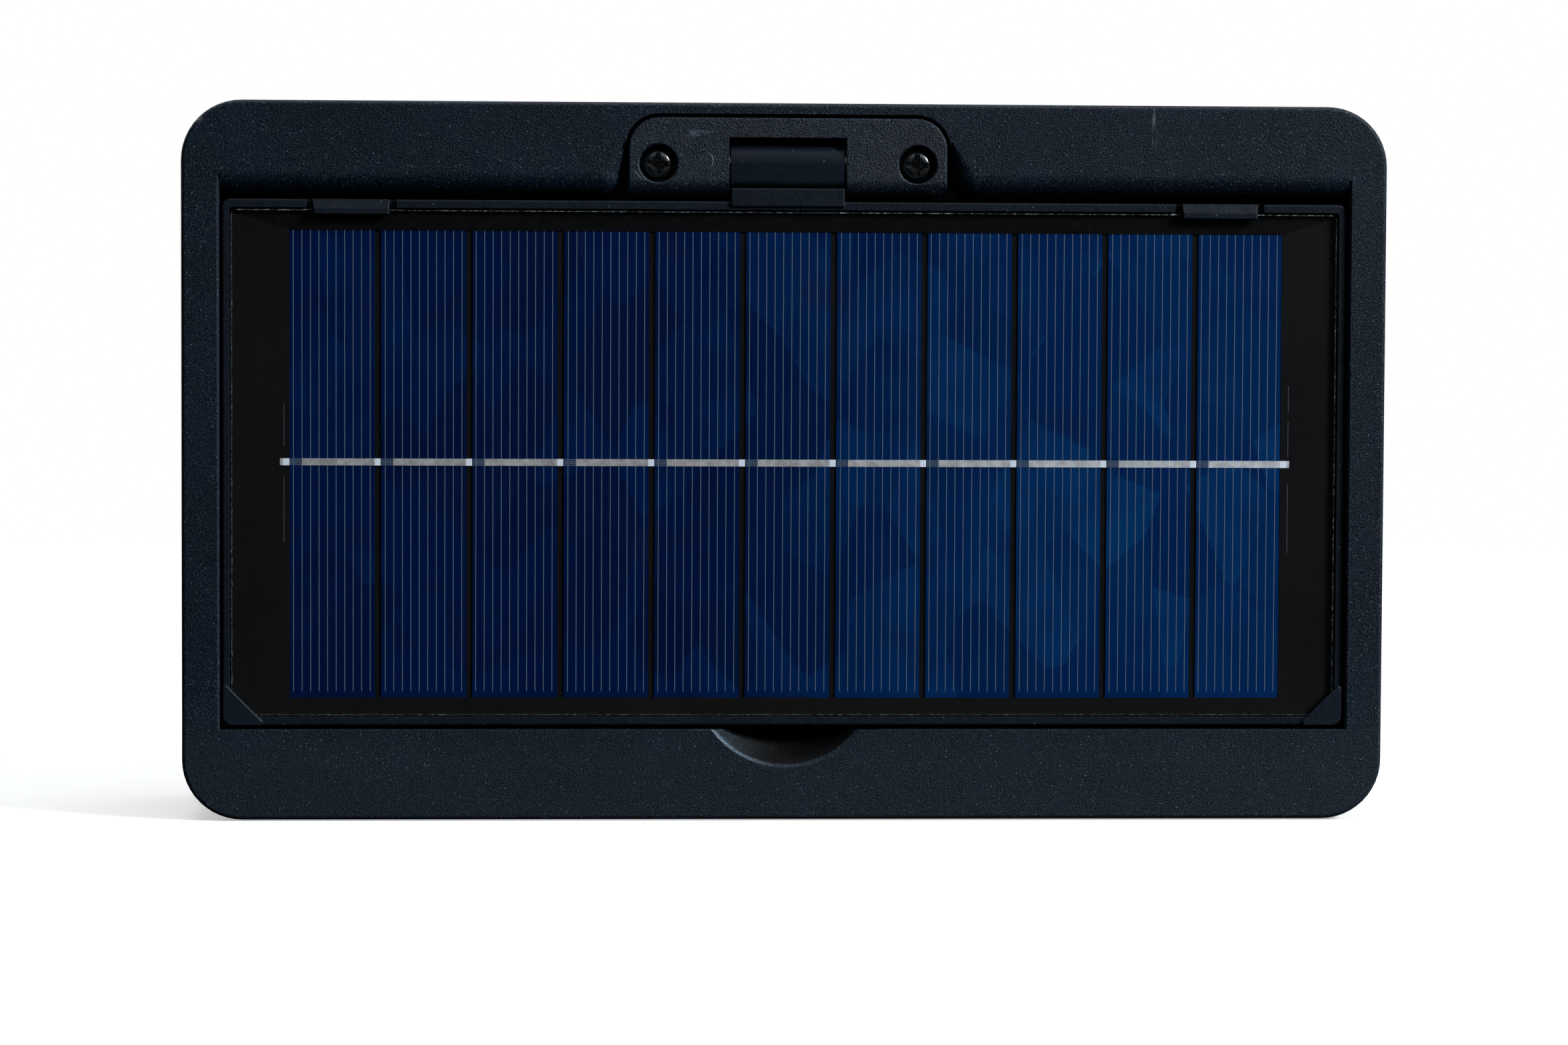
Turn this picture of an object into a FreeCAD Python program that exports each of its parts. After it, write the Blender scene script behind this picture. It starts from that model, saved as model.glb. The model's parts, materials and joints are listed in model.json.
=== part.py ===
import FreeCAD, Part
import math
import os
from FreeCAD import Vector

# Solar security camera: a flat weatherproof housing with a fold-out solar panel on one broad face and
# a camera, motion sensor and two lamps on the other.
#
# Row frame, millimetres: +Z up, +X across the width, +Y the way the lens looks. The solar panel faces -Y.
# The origin is the middle of the bounding box's bottom. Places along Y are given as depths: depth 0 is
# the housing's solar face and depth grows towards the lens. The panel hangs on a barrel hinge near the
# top edge and swings its lower edge out and up.

# ---------------------------------------------------------------- driving dimensions
BODY_W = 200.0
BODY_H = 119.0
BODY_DEPTH = 42.0
CORNER_R = 10.0
WALL = 2.4
PARTING = 30.0  # depth where the rear and front shells meet
PLINTH_RISE = 2.5
DOME_RISE = 8.0

FACE = BODY_DEPTH  # depth of the lamp face
PLINTH = FACE + PLINTH_RISE
TOTAL_DEPTH = PLINTH + DOME_RISE
SOLAR_Y = -TOTAL_DEPTH / 2
HALF_W = BODY_W / 2

# recess that holds the panel
RECESS_X = 93.75
RECESS_Z0 = 15.0
RECESS_Z1 = 103.3
RECESS_FLOOR = 7.3
FLOOR_BACK = RECESS_FLOOR + 2.2
ROLL_R = 4.0  # soft edge above the panel
EDGE = 0.35  # small broken edge on the mouldings

# finger scoop below the panel: a ball whose cut at the face is a 15 mm circle
SCOOP_R = 15.1
SCOOP_Z = 24.1
SCOOP_OUT = 9.0
SCOOP_BALL = math.hypot(SCOOP_R, SCOOP_OUT)

# hinge
HINGE_Z = 109.0
HINGE_D = 4.4
BARREL_R = 4.0
PIN_R = 1.8
PIN_FIT = 0.05
PIN_IN = 2.0  # inner end of each pin, from the middle
PIN_OUT = 16.6
TONGUE_X = 9.45
NOTCH_X = 9.75
NOTCH_Z1 = 113.3
WASHER_R = 2.4
WASHER_T = 0.6

# hinge cover and its pocket
COVER_X = 26.45
COVER_Z0 = 103.1
COVER_Z1 = 116.6
COVER_R = 5.2
COVER_TOP = 0.15
COVER_GAP = 0.55
COVER_ROLL = 3.2
COVER_SCREWS = [(-21.5, 108.9), (21.5, 108.9)]
WELL_R = 3.1
WELL_DEPTH = 2.4

# solar panel frame and laminate
FRAME_X = 93.3
FRAME_Z0 = 15.65
FRAME_Z1 = 102.75
FRAME_R = 1.3
FRAME_TOP = 0.9
FRAME_BACK = 5.9
CLIP_TOP = 0.45  # face of the raised hooks and corner clips
SHEET_X = 91.9
SHEET_Z0 = 17.3
SHEET_Z1 = 101.1
SHEET_TOP = 1.2
SHEET_BACK = 4.3
SHEET_GAP = 0.25
COVER_SHEET = 0.65  # thickness of the clear cover sheet
CELL_T = 0.2
CELL_COUNT = 11
CELL_W = 14.05
CELL_PITCH = 15.10
CELL_SHIFT = 0.25  # the row of cells sits a little to one side
CELL_Z0 = 20.2
CELL_Z1 = 97.7
RIBBON_Z = 59.35
RIBBON_W = 1.15
HOOK_X = (65.8, 78.4)
CLIP_LEG = 7.3

# lamps
LAMP_X = 63.0
LAMP_Z = 59.5
LAMP_COVER = (25.5, 35.0, 5.0)  # half width, half height, corner radius
LAMP_OPENING = (23.5, 33.0, 3.5)
LAMP_PLATE = (25.0, 37.5, 8.0)
CUP_COLUMNS = (-15.5, 0.0, 15.5)
CUP_ROWS = (-26.4, -13.2, 0.0, 13.2, 26.4)
CUP_R = 6.3
CUP_BACK_R = 2.8
REFLECTOR_D = (34.5, 39.5)
LAMP_BOARD_D = (32.8, 34.4)
LAMP_POSTS = [(-12.0, -35.2), (12.0, -35.2), (-12.0, 35.2), (12.0, 35.2)]

# camera column
PLINTH_X = 28.0
PLINTH_Z = (6.0, 113.0)
WINDOW_X = 22.0
WINDOW_Z = (50.0, 106.0)
WINDOW_R = 6.0
WINDOW_BACK = 42.6
LENS_Z = 84.0
BEZEL_R = 13.0
IR_LEDS = [(-16.5, 67.5), (16.5, 67.5), (-16.5, 100.5), (16.5, 100.5)]
IR_R = 2.5
IR_BOARD_D = (37.2, 38.4)
SMALL_PORTS_Z = 57.0
SENSOR_BOARD_D = (18.7, 19.9)
CAMERA_POSTS = [(-13.5, 70.5), (13.5, 70.5), (-13.5, 97.5), (13.5, 97.5)]
PIR_Z = 34.5
PIR_R = 11.5
PIR_FLANGE_R = 13.2
PIR_WALL = 42.1
PIR_BOARD_D = (30.8, 32.0)
PIR_POSTS = [(-11.5, 23.0), (11.5, 23.0), (-11.5, 46.0), (11.5, 46.0)]
PIR_POCKET_Z = (8.4, 48.5)
SPEAKER_Z = 14.9
SPEAKER_R = 6.2

# boards, battery and fasteners inside
MAIN_BOARD_D = (11.5, 13.1)
BOARD_POSTS = [(-23.0, 26.0), (23.0, 26.0), (-23.0, 98.0), (23.0, 98.0)]
CELL_18650_R = 9.2
CELL_18650_Z = (27.0, 92.0)
BATTERY_X = 62.0
BATTERY_D = 19.6
SHELL_SCREWS = [(-89.5, 19.5), (89.5, 19.5), (-89.5, 98.5), (89.5, 98.5), (-32.5, 59.0), (32.5, 59.0)]
SHELL_WELL_D = 16.0
SCREW_R = 1.45
SCREW_HOLE_R = 1.5

# side controls
SIDE_D = 19.0
SIDE_Z = 42.0
BAY_HALF = (6.0, 15.0)  # half depth, half height of the port bay
BAY_FLOOR_X = 95.0
DOOR_T = 1.8
DOOR_GAP = 0.3
DOOR_AXIS = (99.0, 14.3)  # x and depth of the door's hinge pin
DOOR_PIN_R = 0.5
DOOR_PIN_Z = (25.6, 58.4)
USB_Z = 50.0
CARD_Z = 35.0
PORT_BOARD_D = (21.0, 22.2)
BUTTON_R = 5.0

# tripod socket in the base
TRIPOD_D = 18.0
TRIPOD_HOLE_R = 2.55
TRIPOD_HOLE_DEPTH = 9.5
INSERT_R = 4.8
INSERT_H = 10.5


# ---------------------------------------------------------------- small tools
def y_at(depth):
    return SOLAR_Y + depth


def block(x0, x1, d0, d1, z0, z1):
    return Part.makeBox(x1 - x0, d1 - d0, z1 - z0, Vector(x0, y_at(d0), z0))


def rod_x(x0, x1, depth, z, radius):
    return Part.makeCylinder(radius, x1 - x0, Vector(x0, y_at(depth), z), Vector(1, 0, 0))


def rod_y(x, z, d0, d1, radius):
    return Part.makeCylinder(radius, d1 - d0, Vector(x, y_at(d0), z), Vector(0, 1, 0))


def rod_z(x, depth, z0, z1, radius):
    return Part.makeCylinder(radius, z1 - z0, Vector(x, y_at(depth), z0), Vector(0, 0, 1))


def cone_y(x, z, d0, d1, r0, r1):
    return Part.makeCone(r0, r1, d1 - d0, Vector(x, y_at(d0), z), Vector(0, 1, 0))


def fused(shapes):
    first, *rest = shapes
    return first.fuse(rest).removeSplitter() if rest else first


def outline(corners, radii, place):
    """Closed wire through flat corners, each rounded by its radius; place turns a pair into a point."""
    points = [place(a, b) for a, b in corners]
    entries, middles, exits = [], [], []
    for i, (here, radius) in enumerate(zip(points, radii)):
        back = (points[i - 1] - here).normalize()
        ahead = (points[(i + 1) % len(points)] - here).normalize()
        half = back.getAngle(ahead) / 2
        inward = (back + ahead).normalize()
        reach = radius / math.tan(half)
        entries.append(here + back * reach)
        exits.append(here + ahead * reach)
        middles.append(here + inward * (radius / math.sin(half) - radius))
    edges = []
    for i, radius in enumerate(radii):
        if (exits[i - 1] - entries[i]).Length > 1e-6:
            edges.append(Part.LineSegment(exits[i - 1], entries[i]).toShape())
        if radius > 0:
            edges.append(Part.Arc(entries[i], middles[i], exits[i]).toShape())
    return Part.Wire(edges)


def plate(corners, radii, d0, d1):
    """Flat shape in (x, z), thick from depth d0 to d1."""
    wire = outline(corners, radii, lambda x, z: Vector(x, y_at(d0), z))
    return Part.Face(wire).extrude(Vector(0, d1 - d0, 0))


def rounded(x0, x1, z0, z1, radius, d0, d1):
    return plate([(x0, z0), (x1, z0), (x1, z1), (x0, z1)], [radius] * 4, d0, d1)


def centred(x, z, sizes, d0, d1, grow=0.0):
    """Rounded plate about (x, z); sizes are half width, half height and corner radius."""
    half_x, half_z, radius = (s + grow for s in sizes)
    return rounded(x - half_x, x + half_x, z - half_z, z + half_z, radius, d0, d1)


def side_plate(d, z, half_d, half_z, radius, x0, x1, near_radius=None):
    """Rounded plate in (depth, z), thick from x0 to x1; its corners nearest the solar face may differ."""
    near = radius if near_radius is None else near_radius
    d0, d1, z0, z1 = d - half_d, d + half_d, z - half_z, z + half_z
    corners = [(d0, z0), (d1, z0), (d1, z1), (d0, z1)]
    wire = outline(corners, [near, radius, radius, near], lambda a, b: Vector(x0, y_at(a), b))
    return Part.Face(wire).extrude(Vector(x1 - x0, 0, 0))


def bar(profile, x0, x1):
    """Straight bar along X with a (depth, z) profile."""
    wire = outline(profile, [0] * len(profile), lambda d, z: Vector(x0, y_at(d), z))
    return Part.Face(wire).extrude(Vector(x1 - x0, 0, 0))


def turned(profile, x, z):
    """Solid of revolution about the line along Y at (x, z); the profile is (radius, depth)."""
    wire = outline(profile, [0] * len(profile), lambda r, d: Vector(x + r, y_at(d), z))
    return Part.Face(wire).revolve(Vector(x, 0, z), Vector(0, 1, 0), 360)


def tube(points, radius, bend):
    """Round wire along straight runs joined by tangent arcs; points are (x, depth, z)."""
    spots = [Vector(x, y_at(d), z) for x, d, z in points]
    edges, last = [], spots[0]
    for before, here, after in zip(spots, spots[1:], spots[2:]):
        back = (before - here).normalize()
        ahead = (after - here).normalize()
        half = back.getAngle(ahead) / 2
        reach = bend / math.tan(half)
        middle = here + (back + ahead).normalize() * (bend / math.sin(half) - bend)
        edges.append(Part.LineSegment(last, here + back * reach).toShape())
        edges.append(Part.Arc(here + back * reach, middle, here + ahead * reach).toShape())
        last = here + ahead * reach
    edges.append(Part.LineSegment(last, spots[-1]).toShape())
    ring = Part.Circle(spots[0], spots[1] - spots[0], radius).toShape()
    return Part.Wire(edges).makePipe(Part.Face(Part.Wire(ring)))


def front_edges(shape, depth, keep=lambda edge: True):
    """Edges that lie in the plane at a depth."""
    y = y_at(depth)
    flat = [e for e in shape.Edges if abs(e.BoundBox.YMin - y) < 1e-4 and abs(e.BoundBox.YMax - y) < 1e-4]
    return [e for e in flat if keep(e)]


def cross_recess(x, z, top, arm, width, depth):
    """Phillips recess: a cross with a pointed middle, open towards -Y."""
    across = block(x - arm, x + arm, top - 0.01, top + depth, z - width / 2, z + width / 2)
    upright = block(x - width / 2, x + width / 2, top - 0.01, top + depth, z - arm, z + arm)
    reach = cone_y(x, z, top - 0.01, top + depth * 1.2, arm, arm * 0.45)
    middle = cone_y(x, z, top - 0.01, top + depth * 1.4, arm * 0.62, arm * 0.12)
    return across.fuse(upright).common(reach).fuse(middle)


def pan_screw(x, z, seat, head_r, head_h, length, shaft_r):
    """Pan-head screw driven towards +Y, its head resting on the seat depth."""
    head = rod_y(x, z, seat - head_h, seat, head_r)
    head = head.makeFillet(head_h * 0.62, front_edges(head, seat - head_h))
    head = head.cut(cross_recess(x, z, seat - head_h, head_r * 0.8, head_r * 0.38, head_h * 0.66))
    tip = cone_y(x, z, seat + length - shaft_r, seat + length, shaft_r, shaft_r * 0.35)
    return head.fuse([rod_y(x, z, seat, seat + length - shaft_r, shaft_r), tip]).removeSplitter()


# ---------------------------------------------------------------- housing
def roll_cut(side):
    """Material taken off above the panel, so that the housing rolls softly into the recess."""
    pocket_x = COVER_X + COVER_GAP
    corner_x = pocket_x + ROLL_R
    top = RECESS_Z1 + ROLL_R
    x0, x1 = sorted((side * corner_x, side * RECESS_X))
    straight = block(x0, x1, -0.5, ROLL_R, RECESS_Z1 - 0.1, top).cut(rod_x(x0, x1, ROLL_R, top, ROLL_R))
    c0, c1 = sorted((side * pocket_x, side * corner_x))
    ball = Part.makeSphere(ROLL_R, Vector(side * corner_x, y_at(ROLL_R), top))
    corner = block(c0, c1, -0.5, ROLL_R, RECESS_Z1 - 0.1, top).cut(ball)
    slab = block(x0, x1, -0.5, 0.0, RECESS_Z1 - 0.1, top)
    return straight.cut(slab).fuse(corner.cut(block(c0, c1, -0.5, 0.0, RECESS_Z1 - 0.1, top)))


def flare_profile(side, size, z):
    """Square corner less a quarter round, beside the hinge cover's pocket."""
    pocket_x = side * (COVER_X + COVER_GAP)
    far_x = pocket_x + side * size
    slope = size * (1 - math.sqrt(0.5))
    start = Vector(far_x, y_at(0.0), z)
    end = Vector(pocket_x, y_at(size), z)
    middle = Vector(pocket_x + side * slope, y_at(slope), z)
    corner = Vector(pocket_x, y_at(0.0), z)
    edges = [Part.LineSegment(corner, start).toShape(), Part.Arc(start, middle, end).toShape()]
    return Part.Wire(edges + [Part.LineSegment(end, corner).toShape()])


def flare_cut(side):
    """The roll dies out as it turns up beside the hinge cover."""
    low = flare_profile(side, ROLL_R, RECESS_Z1 + ROLL_R)
    high = flare_profile(side, 0.4, COVER_Z1 - 4.0)
    return Part.makeLoft([low, high], True, True)


def scoop_cut():
    ball = Part.makeSphere(SCOOP_BALL, Vector(0, y_at(-SCOOP_OUT), SCOOP_Z))
    bowl = ball.common(block(-SCOOP_R, SCOOP_R, -0.5, RECESS_FLOOR, 5.0, SCOOP_Z))
    lip = cone_y(0, SCOOP_Z, -0.05, EDGE, SCOOP_R + EDGE + 0.05, SCOOP_R - 0.1)
    return bowl.fuse(lip.common(block(-20, 20, -1, 1, 0, RECESS_Z0 + 0.5)))


def recess_edges():
    """Broken edges along the sides of the recess."""
    cuts = []
    reach = RECESS_Z1 + ROLL_R - 0.6
    for side in (-1, 1):
        x = side * RECESS_X
        corners = [(x - side * 0.1, -0.1), (x + side * (EDGE + 0.1), -0.1), (x - side * 0.1, EDGE + 0.1)]
        wire = outline(corners, [0] * 3, lambda a, b: Vector(a, y_at(b), RECESS_Z0))
        cuts.append(Part.Face(wire).extrude(Vector(0, 0, reach - RECESS_Z0)))
    return cuts


def housing_cavity(d0, d1, wall=WALL):
    return rounded(wall - HALF_W, HALF_W - wall, wall, BODY_H - wall, CORNER_R - wall, d0, d1)


def seal_ring(d0, d1):
    outer = rounded(0.7 - HALF_W, HALF_W - 0.7, 0.7, BODY_H - 0.7, CORNER_R - 0.7, d0, d1)
    return outer.cut(rounded(1.7 - HALF_W, HALF_W - 1.7, 1.7, BODY_H - 1.7, CORNER_R - 1.7, d0, d1))


def rear_shell():
    shell = rounded(-HALF_W, HALF_W, 0, BODY_H, CORNER_R, 0, PARTING)
    shell = shell.makeFillet(0.7, front_edges(shell, 0))
    shell = shell.makeChamfer(0.3, front_edges(shell, PARTING))

    bands = housing_cavity(WALL, FLOOR_BACK)
    hollows = [housing_cavity(FLOOR_BACK, PARTING)]
    for side in (-1, 1):
        x0, x1 = sorted((side * 33.0, side * HALF_W))
        hollows.append(bands.common(block(x0, x1, 0, FLOOR_BACK, 109.5, BODY_H)))
        x0, x1 = sorted((side * 20.0, side * HALF_W))
        hollows.append(bands.common(block(x0, x1, 0, FLOOR_BACK, 0, RECESS_Z0 - WALL)))
    hollows.append(bands.common(block(-20.0, 20.0, 0, FLOOR_BACK, 0, 6.6)))
    shell = shell.cut(hollows)

    added = [block(-11.5, 11.5, FLOOR_BACK - 0.5, FLOOR_BACK + 1.3, 103.0, 115.0)]
    for x, z in COVER_SCREWS:
        added.append(rod_y(x, z, FLOOR_BACK - 0.5, 14.5, 3.4))
    for x, z in SHELL_SCREWS:
        added.append(rod_y(x, z, FLOOR_BACK - 0.5, PARTING - 0.05, 4.6))
    for x, z in BOARD_POSTS:
        added.append(rod_y(x, z, FLOOR_BACK - 0.5, MAIN_BOARD_D[0], 2.6))
    for z in (USB_Z + 3.5, CARD_Z + 9.6):
        added.append(rod_y(79.0, z, FLOOR_BACK - 0.5, PORT_BOARD_D[0], 2.0))
    bay_x = HALF_W - WALL + 0.5
    added.append(block(BAY_FLOOR_X - 1.8, bay_x, SIDE_D - 8, SIDE_D + 8, SIDE_Z - 17, SIDE_Z + 17))
    for z in (SIDE_Z - 9, SIDE_Z + 9):
        added.append(rod_x(-bay_x, -92.6, SIDE_D, z, 1.8))
    shell = shell.fuse(added)

    cuts = [block(-RECESS_X, RECESS_X, -1, RECESS_FLOOR, RECESS_Z0, RECESS_Z1)]
    pocket_x = COVER_X + COVER_GAP
    pocket_z = COVER_Z1 + COVER_GAP
    pocket = [(-pocket_x, 95.0), (pocket_x, 95.0), (pocket_x, pocket_z), (-pocket_x, pocket_z)]
    pocket_r = COVER_R + COVER_GAP
    cuts.append(plate(pocket, [0, 0, pocket_r, pocket_r], -1, HINGE_D))
    cuts += [roll_cut(-1), roll_cut(1), flare_cut(-1), flare_cut(1), scoop_cut()]
    cuts += recess_edges()
    cuts.append(block(-9.8, 9.8, 0, RECESS_FLOOR, RECESS_Z1 - 1, HINGE_Z))
    cuts.append(rod_x(-9.8, 9.8, HINGE_D, HINGE_Z, BARREL_R + 0.5))
    cuts.append(rod_x(-10.4, 10.4, HINGE_D, HINGE_Z, WASHER_R + 0.1))
    cuts.append(rod_x(-17.2, 17.2, HINGE_D, HINGE_Z, PIN_R + 0.02))
    cuts.append(rod_y(18.0, HINGE_Z, HINGE_D - 0.5, 15.0, 0.9))
    cuts.append(rod_x(17.0, 18.0, HINGE_D, HINGE_Z, 0.9))
    for x, z in COVER_SCREWS:
        cuts.append(rod_y(x, z, 0, 13.5, SCREW_HOLE_R))
    for x, z in SHELL_SCREWS:
        cuts.append(rod_y(x, z, 0, SHELL_WELL_D, 3.0))
        cuts.append(rod_y(x, z, 0, PARTING + 1, SCREW_HOLE_R + 0.1))
    for x, z in BOARD_POSTS:
        cuts.append(rod_y(x, z, FLOOR_BACK - 1.2, MAIN_BOARD_D[0] + 1, 1.05))
    cuts.append(side_plate(SIDE_D, SIDE_Z, *BAY_HALF, 3.0, BAY_FLOOR_X, HALF_W + 1, 0.8))
    cuts.append(side_plate(19.4, USB_Z, 1.75, 4.65, 1.6, 90, BAY_FLOOR_X + 1))
    cuts.append(block(90, BAY_FLOOR_X + 1, 19.2, 20.9, CARD_Z - 5.8, CARD_Z + 5.8))
    cuts.append(rod_z(*DOOR_AXIS, DOOR_PIN_Z[0] - 0.1, DOOR_PIN_Z[1] + 0.1, DOOR_PIN_R + 0.02))
    cuts.append(rod_x(-HALF_W - 1, -96.0, SIDE_D, SIDE_Z, BUTTON_R + 0.2))
    cuts.append(tripod_block_shape(0.15).common(block(-40, 40, 0, 40, -1, WALL + 0.01)))
    cuts.append(seal_ring(PARTING - 1.0, PARTING + 1))
    return shell.cut(cuts)


def front_shell():
    shell = rounded(-HALF_W, HALF_W, 0, BODY_H, CORNER_R, PARTING, FACE)
    shell = shell.makeFillet(3.0, front_edges(shell, FACE))
    shell = shell.makeChamfer(0.3, front_edges(shell, PARTING))
    plinth = rounded(-PLINTH_X, PLINTH_X, *PLINTH_Z, 8.0, FACE - 2, PLINTH)
    plinth = plinth.makeFillet(1.2, front_edges(plinth, PLINTH))
    shell = shell.fuse(plinth)

    hollows = [housing_cavity(PARTING, FACE - WALL)]
    hollows.append(rounded(-25.6, 25.6, *PIR_POCKET_Z, 5.6, PARTING + 1, PIR_WALL))
    shell = shell.cut(hollows)

    added = []
    for x, z in SHELL_SCREWS:
        added.append(rod_y(x, z, PARTING, FACE - WALL + 0.5, 3.6))
    for x, z in CAMERA_POSTS:
        added.append(rod_y(x, z, SENSOR_BOARD_D[1], FACE - WALL + 0.5, 2.0))
    for x, z in PIR_POSTS:
        added.append(rod_y(x, z, PIR_BOARD_D[1], PIR_WALL + 0.5, 1.8))
    for side in (-1, 1):
        for dx, dz in LAMP_POSTS:
            added.append(rod_y(side * LAMP_X + dx, LAMP_Z + dz, LAMP_BOARD_D[1], FACE - WALL + 0.5, 2.0))
    shell = shell.fuse(added)

    cuts = []
    for x, z in SHELL_SCREWS:
        cuts.append(rod_y(x, z, PARTING - 1, PARTING + 8.5, SCREW_HOLE_R))
    for x, z in CAMERA_POSTS:
        cuts.append(rod_y(x, z, 0, SENSOR_BOARD_D[1] + 6, 1.0))
    for x, z in PIR_POSTS:
        cuts.append(rod_y(x, z, 0, PIR_BOARD_D[1] + 5, 1.0))
    for side in (-1, 1):
        cuts.append(centred(side * LAMP_X, LAMP_Z, LAMP_OPENING, PARTING, FACE + 1))
        cuts.append(centred(side * LAMP_X, LAMP_Z, LAMP_COVER, FACE - 1.2, FACE + 1, 0.2))
        for dx, dz in LAMP_POSTS:
            cuts.append(rod_y(side * LAMP_X + dx, LAMP_Z + dz, 0, LAMP_BOARD_D[1] + 4, 1.0))
    window = (WINDOW_X, (WINDOW_Z[1] - WINDOW_Z[0]) / 2, WINDOW_R)
    cuts.append(centred(0, sum(WINDOW_Z) / 2, window, WINDOW_BACK - 0.1, PLINTH + 1, 0.2))
    cuts.append(rod_y(0, LENS_Z, PARTING, PLINTH + 1, BEZEL_R + 0.2))
    for x, z in IR_LEDS:
        cuts.append(rod_y(x, z, PARTING, PLINTH, IR_R + 0.2))
    for x, radius in ((-8.0, 1.8), (8.0, 1.35), (0.0, 0.6)):
        cuts.append(rod_y(x, SMALL_PORTS_Z, PARTING, PLINTH, radius))
    cuts.append(rod_y(0, PIR_Z, PARTING, PLINTH + 1, PIR_R + 0.2))
    lip = [(0, PLINTH - 0.6), (PIR_R + 0.2, PLINTH - 0.6), (PIR_R + 0.9, PLINTH + 0.1), (0, PLINTH + 0.1)]
    cuts.append(turned(lip, 0, PIR_Z))
    for row, count in ((-1, 4), (0, 5), (1, 4)):
        for i in range(count):
            x = (i - (count - 1) / 2) * 2.4
            cuts.append(rod_y(x, SPEAKER_Z + 2.1 * row, PARTING, PLINTH + 1, 0.7))
    return shell.cut(cuts)


def hinge_cover():
    """Plate that clamps the hinge pins: a notch lets the panel's tongue through."""
    corners = [(-COVER_X, COVER_Z0), (COVER_X, COVER_Z0), (COVER_X, COVER_Z1), (-COVER_X, COVER_Z1)]
    cover = plate(corners, [0, 0, COVER_R, COVER_R], COVER_TOP, HINGE_D)
    cover = cover.makeFillet(EDGE, front_edges(cover, COVER_TOP, lambda e: e.BoundBox.ZMax > COVER_Z0 + 1))
    roll_z = COVER_Z0 + COVER_ROLL
    roll_d = COVER_TOP + COVER_ROLL
    roll = block(-30, 30, -1, roll_d, COVER_Z0 - 1, roll_z).cut(rod_x(-30, 30, roll_d, roll_z, COVER_ROLL))
    cuts = [roll.common(block(-30, 30, COVER_TOP - 0.5, roll_d, COVER_Z0 - 1, roll_z))]
    cuts.append(block(-NOTCH_X, NOTCH_X, -1, HINGE_D + 1, COVER_Z0 - 1, NOTCH_Z1))
    cuts.append(rod_x(-10.4, 10.4, HINGE_D, HINGE_Z, WASHER_R + 0.1))
    cuts.append(rod_x(-17.2, 17.2, HINGE_D, HINGE_Z, PIN_R + 0.02))
    cuts.append(rod_x(17.0, 18.9, HINGE_D, HINGE_Z, 0.9))
    for x, z in COVER_SCREWS:
        cuts.append(rod_y(x, z, -1, HINGE_D + 1, SCREW_HOLE_R + 0.1))
        cuts.append(rod_y(x, z, -1, COVER_TOP + WELL_DEPTH, WELL_R))
        cuts.append(cone_y(x, z, COVER_TOP - 0.01, COVER_TOP + 0.25, WELL_R + 0.26, WELL_R))
    return cover.cut(cuts)


def hinge_cover_screws():
    screws = [pan_screw(x, z, COVER_TOP + WELL_DEPTH, 2.45, 1.75, 9.5, SCREW_R) for x, z in COVER_SCREWS]
    return Part.makeCompound(screws)


def hinge_pin():
    return rod_x(-PIN_OUT, -PIN_IN, HINGE_D, HINGE_Z, PIN_R)


def hinge_tube():
    """Hollow pin on the other side, which the panel's lead runs through."""
    return rod_x(PIN_IN, PIN_OUT, HINGE_D, HINGE_Z, PIN_R).cut(rod_x(0, 20, HINGE_D, HINGE_Z, 0.95))


def friction_washers():
    """Spring washers that press on the barrel's ends, so that the panel stays where it is put."""
    rings = []
    for x0 in (TONGUE_X + 0.1, -TONGUE_X - 0.1 - WASHER_T):
        ring = rod_x(x0, x0 + WASHER_T, HINGE_D, HINGE_Z, WASHER_R)
        rings.append(ring.cut(rod_x(x0 - 1, x0 + 2, HINGE_D, HINGE_Z, PIN_R + 0.03)))
    return Part.makeCompound(rings)


def panel_bumpers():
    """Rubber dots on the recess floor that the closed panel rests on."""
    spots = [(x, z) for x in (-75.0, 75.0) for z in (24.0, 94.0)]
    return Part.makeCompound([rod_y(x, z, FRAME_BACK + 0.15, RECESS_FLOOR, 3.0) for x, z in spots])


def shell_gasket():
    return seal_ring(PARTING - 1.0, PARTING)


def shell_screws():
    screws = [pan_screw(x, z, SHELL_WELL_D, 2.75, 1.9, 21.0, SCREW_R) for x, z in SHELL_SCREWS]
    return Part.makeCompound(screws)


# ---------------------------------------------------------------- solar panel
def lead_route():
    """The panel's lead: up behind the laminate, into the barrel and out along the hinge axis."""
    return [(0, 5.1, 88.0), (0, 5.1, 103.4), (0, HINGE_D, HINGE_Z), (17.0, HINGE_D, HINGE_Z)]


def hook(side):
    """Snap hook on the frame's top rim, its nose over the laminate."""
    under, rim_z = SHEET_TOP - 0.05, SHEET_Z1 + SHEET_GAP
    profile = [(CLIP_TOP + 0.4, FRAME_Z1), (3.0, FRAME_Z1), (3.0, rim_z), (under, rim_z)]
    profile += [(under, 100.2), (1.0, 100.1), (CLIP_TOP, 100.35), (CLIP_TOP, 101.2)]
    x0, x1 = sorted((side * HOOK_X[0], side * HOOK_X[1]))
    piece = bar(profile, x0, x1)
    ends = [e for e in front_edges(piece, CLIP_TOP) if e.BoundBox.XLength < 0.01]
    return piece.makeChamfer(0.25, ends)


def corner_clip(side):
    """Three-cornered clip over the laminate's lower corner."""
    x, z = side * FRAME_X, FRAME_Z0
    corners = [(x, z), (x - side * CLIP_LEG, z), (x, z + CLIP_LEG)]
    piece = plate(corners, [1.6, 0.5, 0.5], CLIP_TOP, SHEET_TOP - 0.05)
    return piece.makeFillet(0.2, front_edges(piece, CLIP_TOP))


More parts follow.
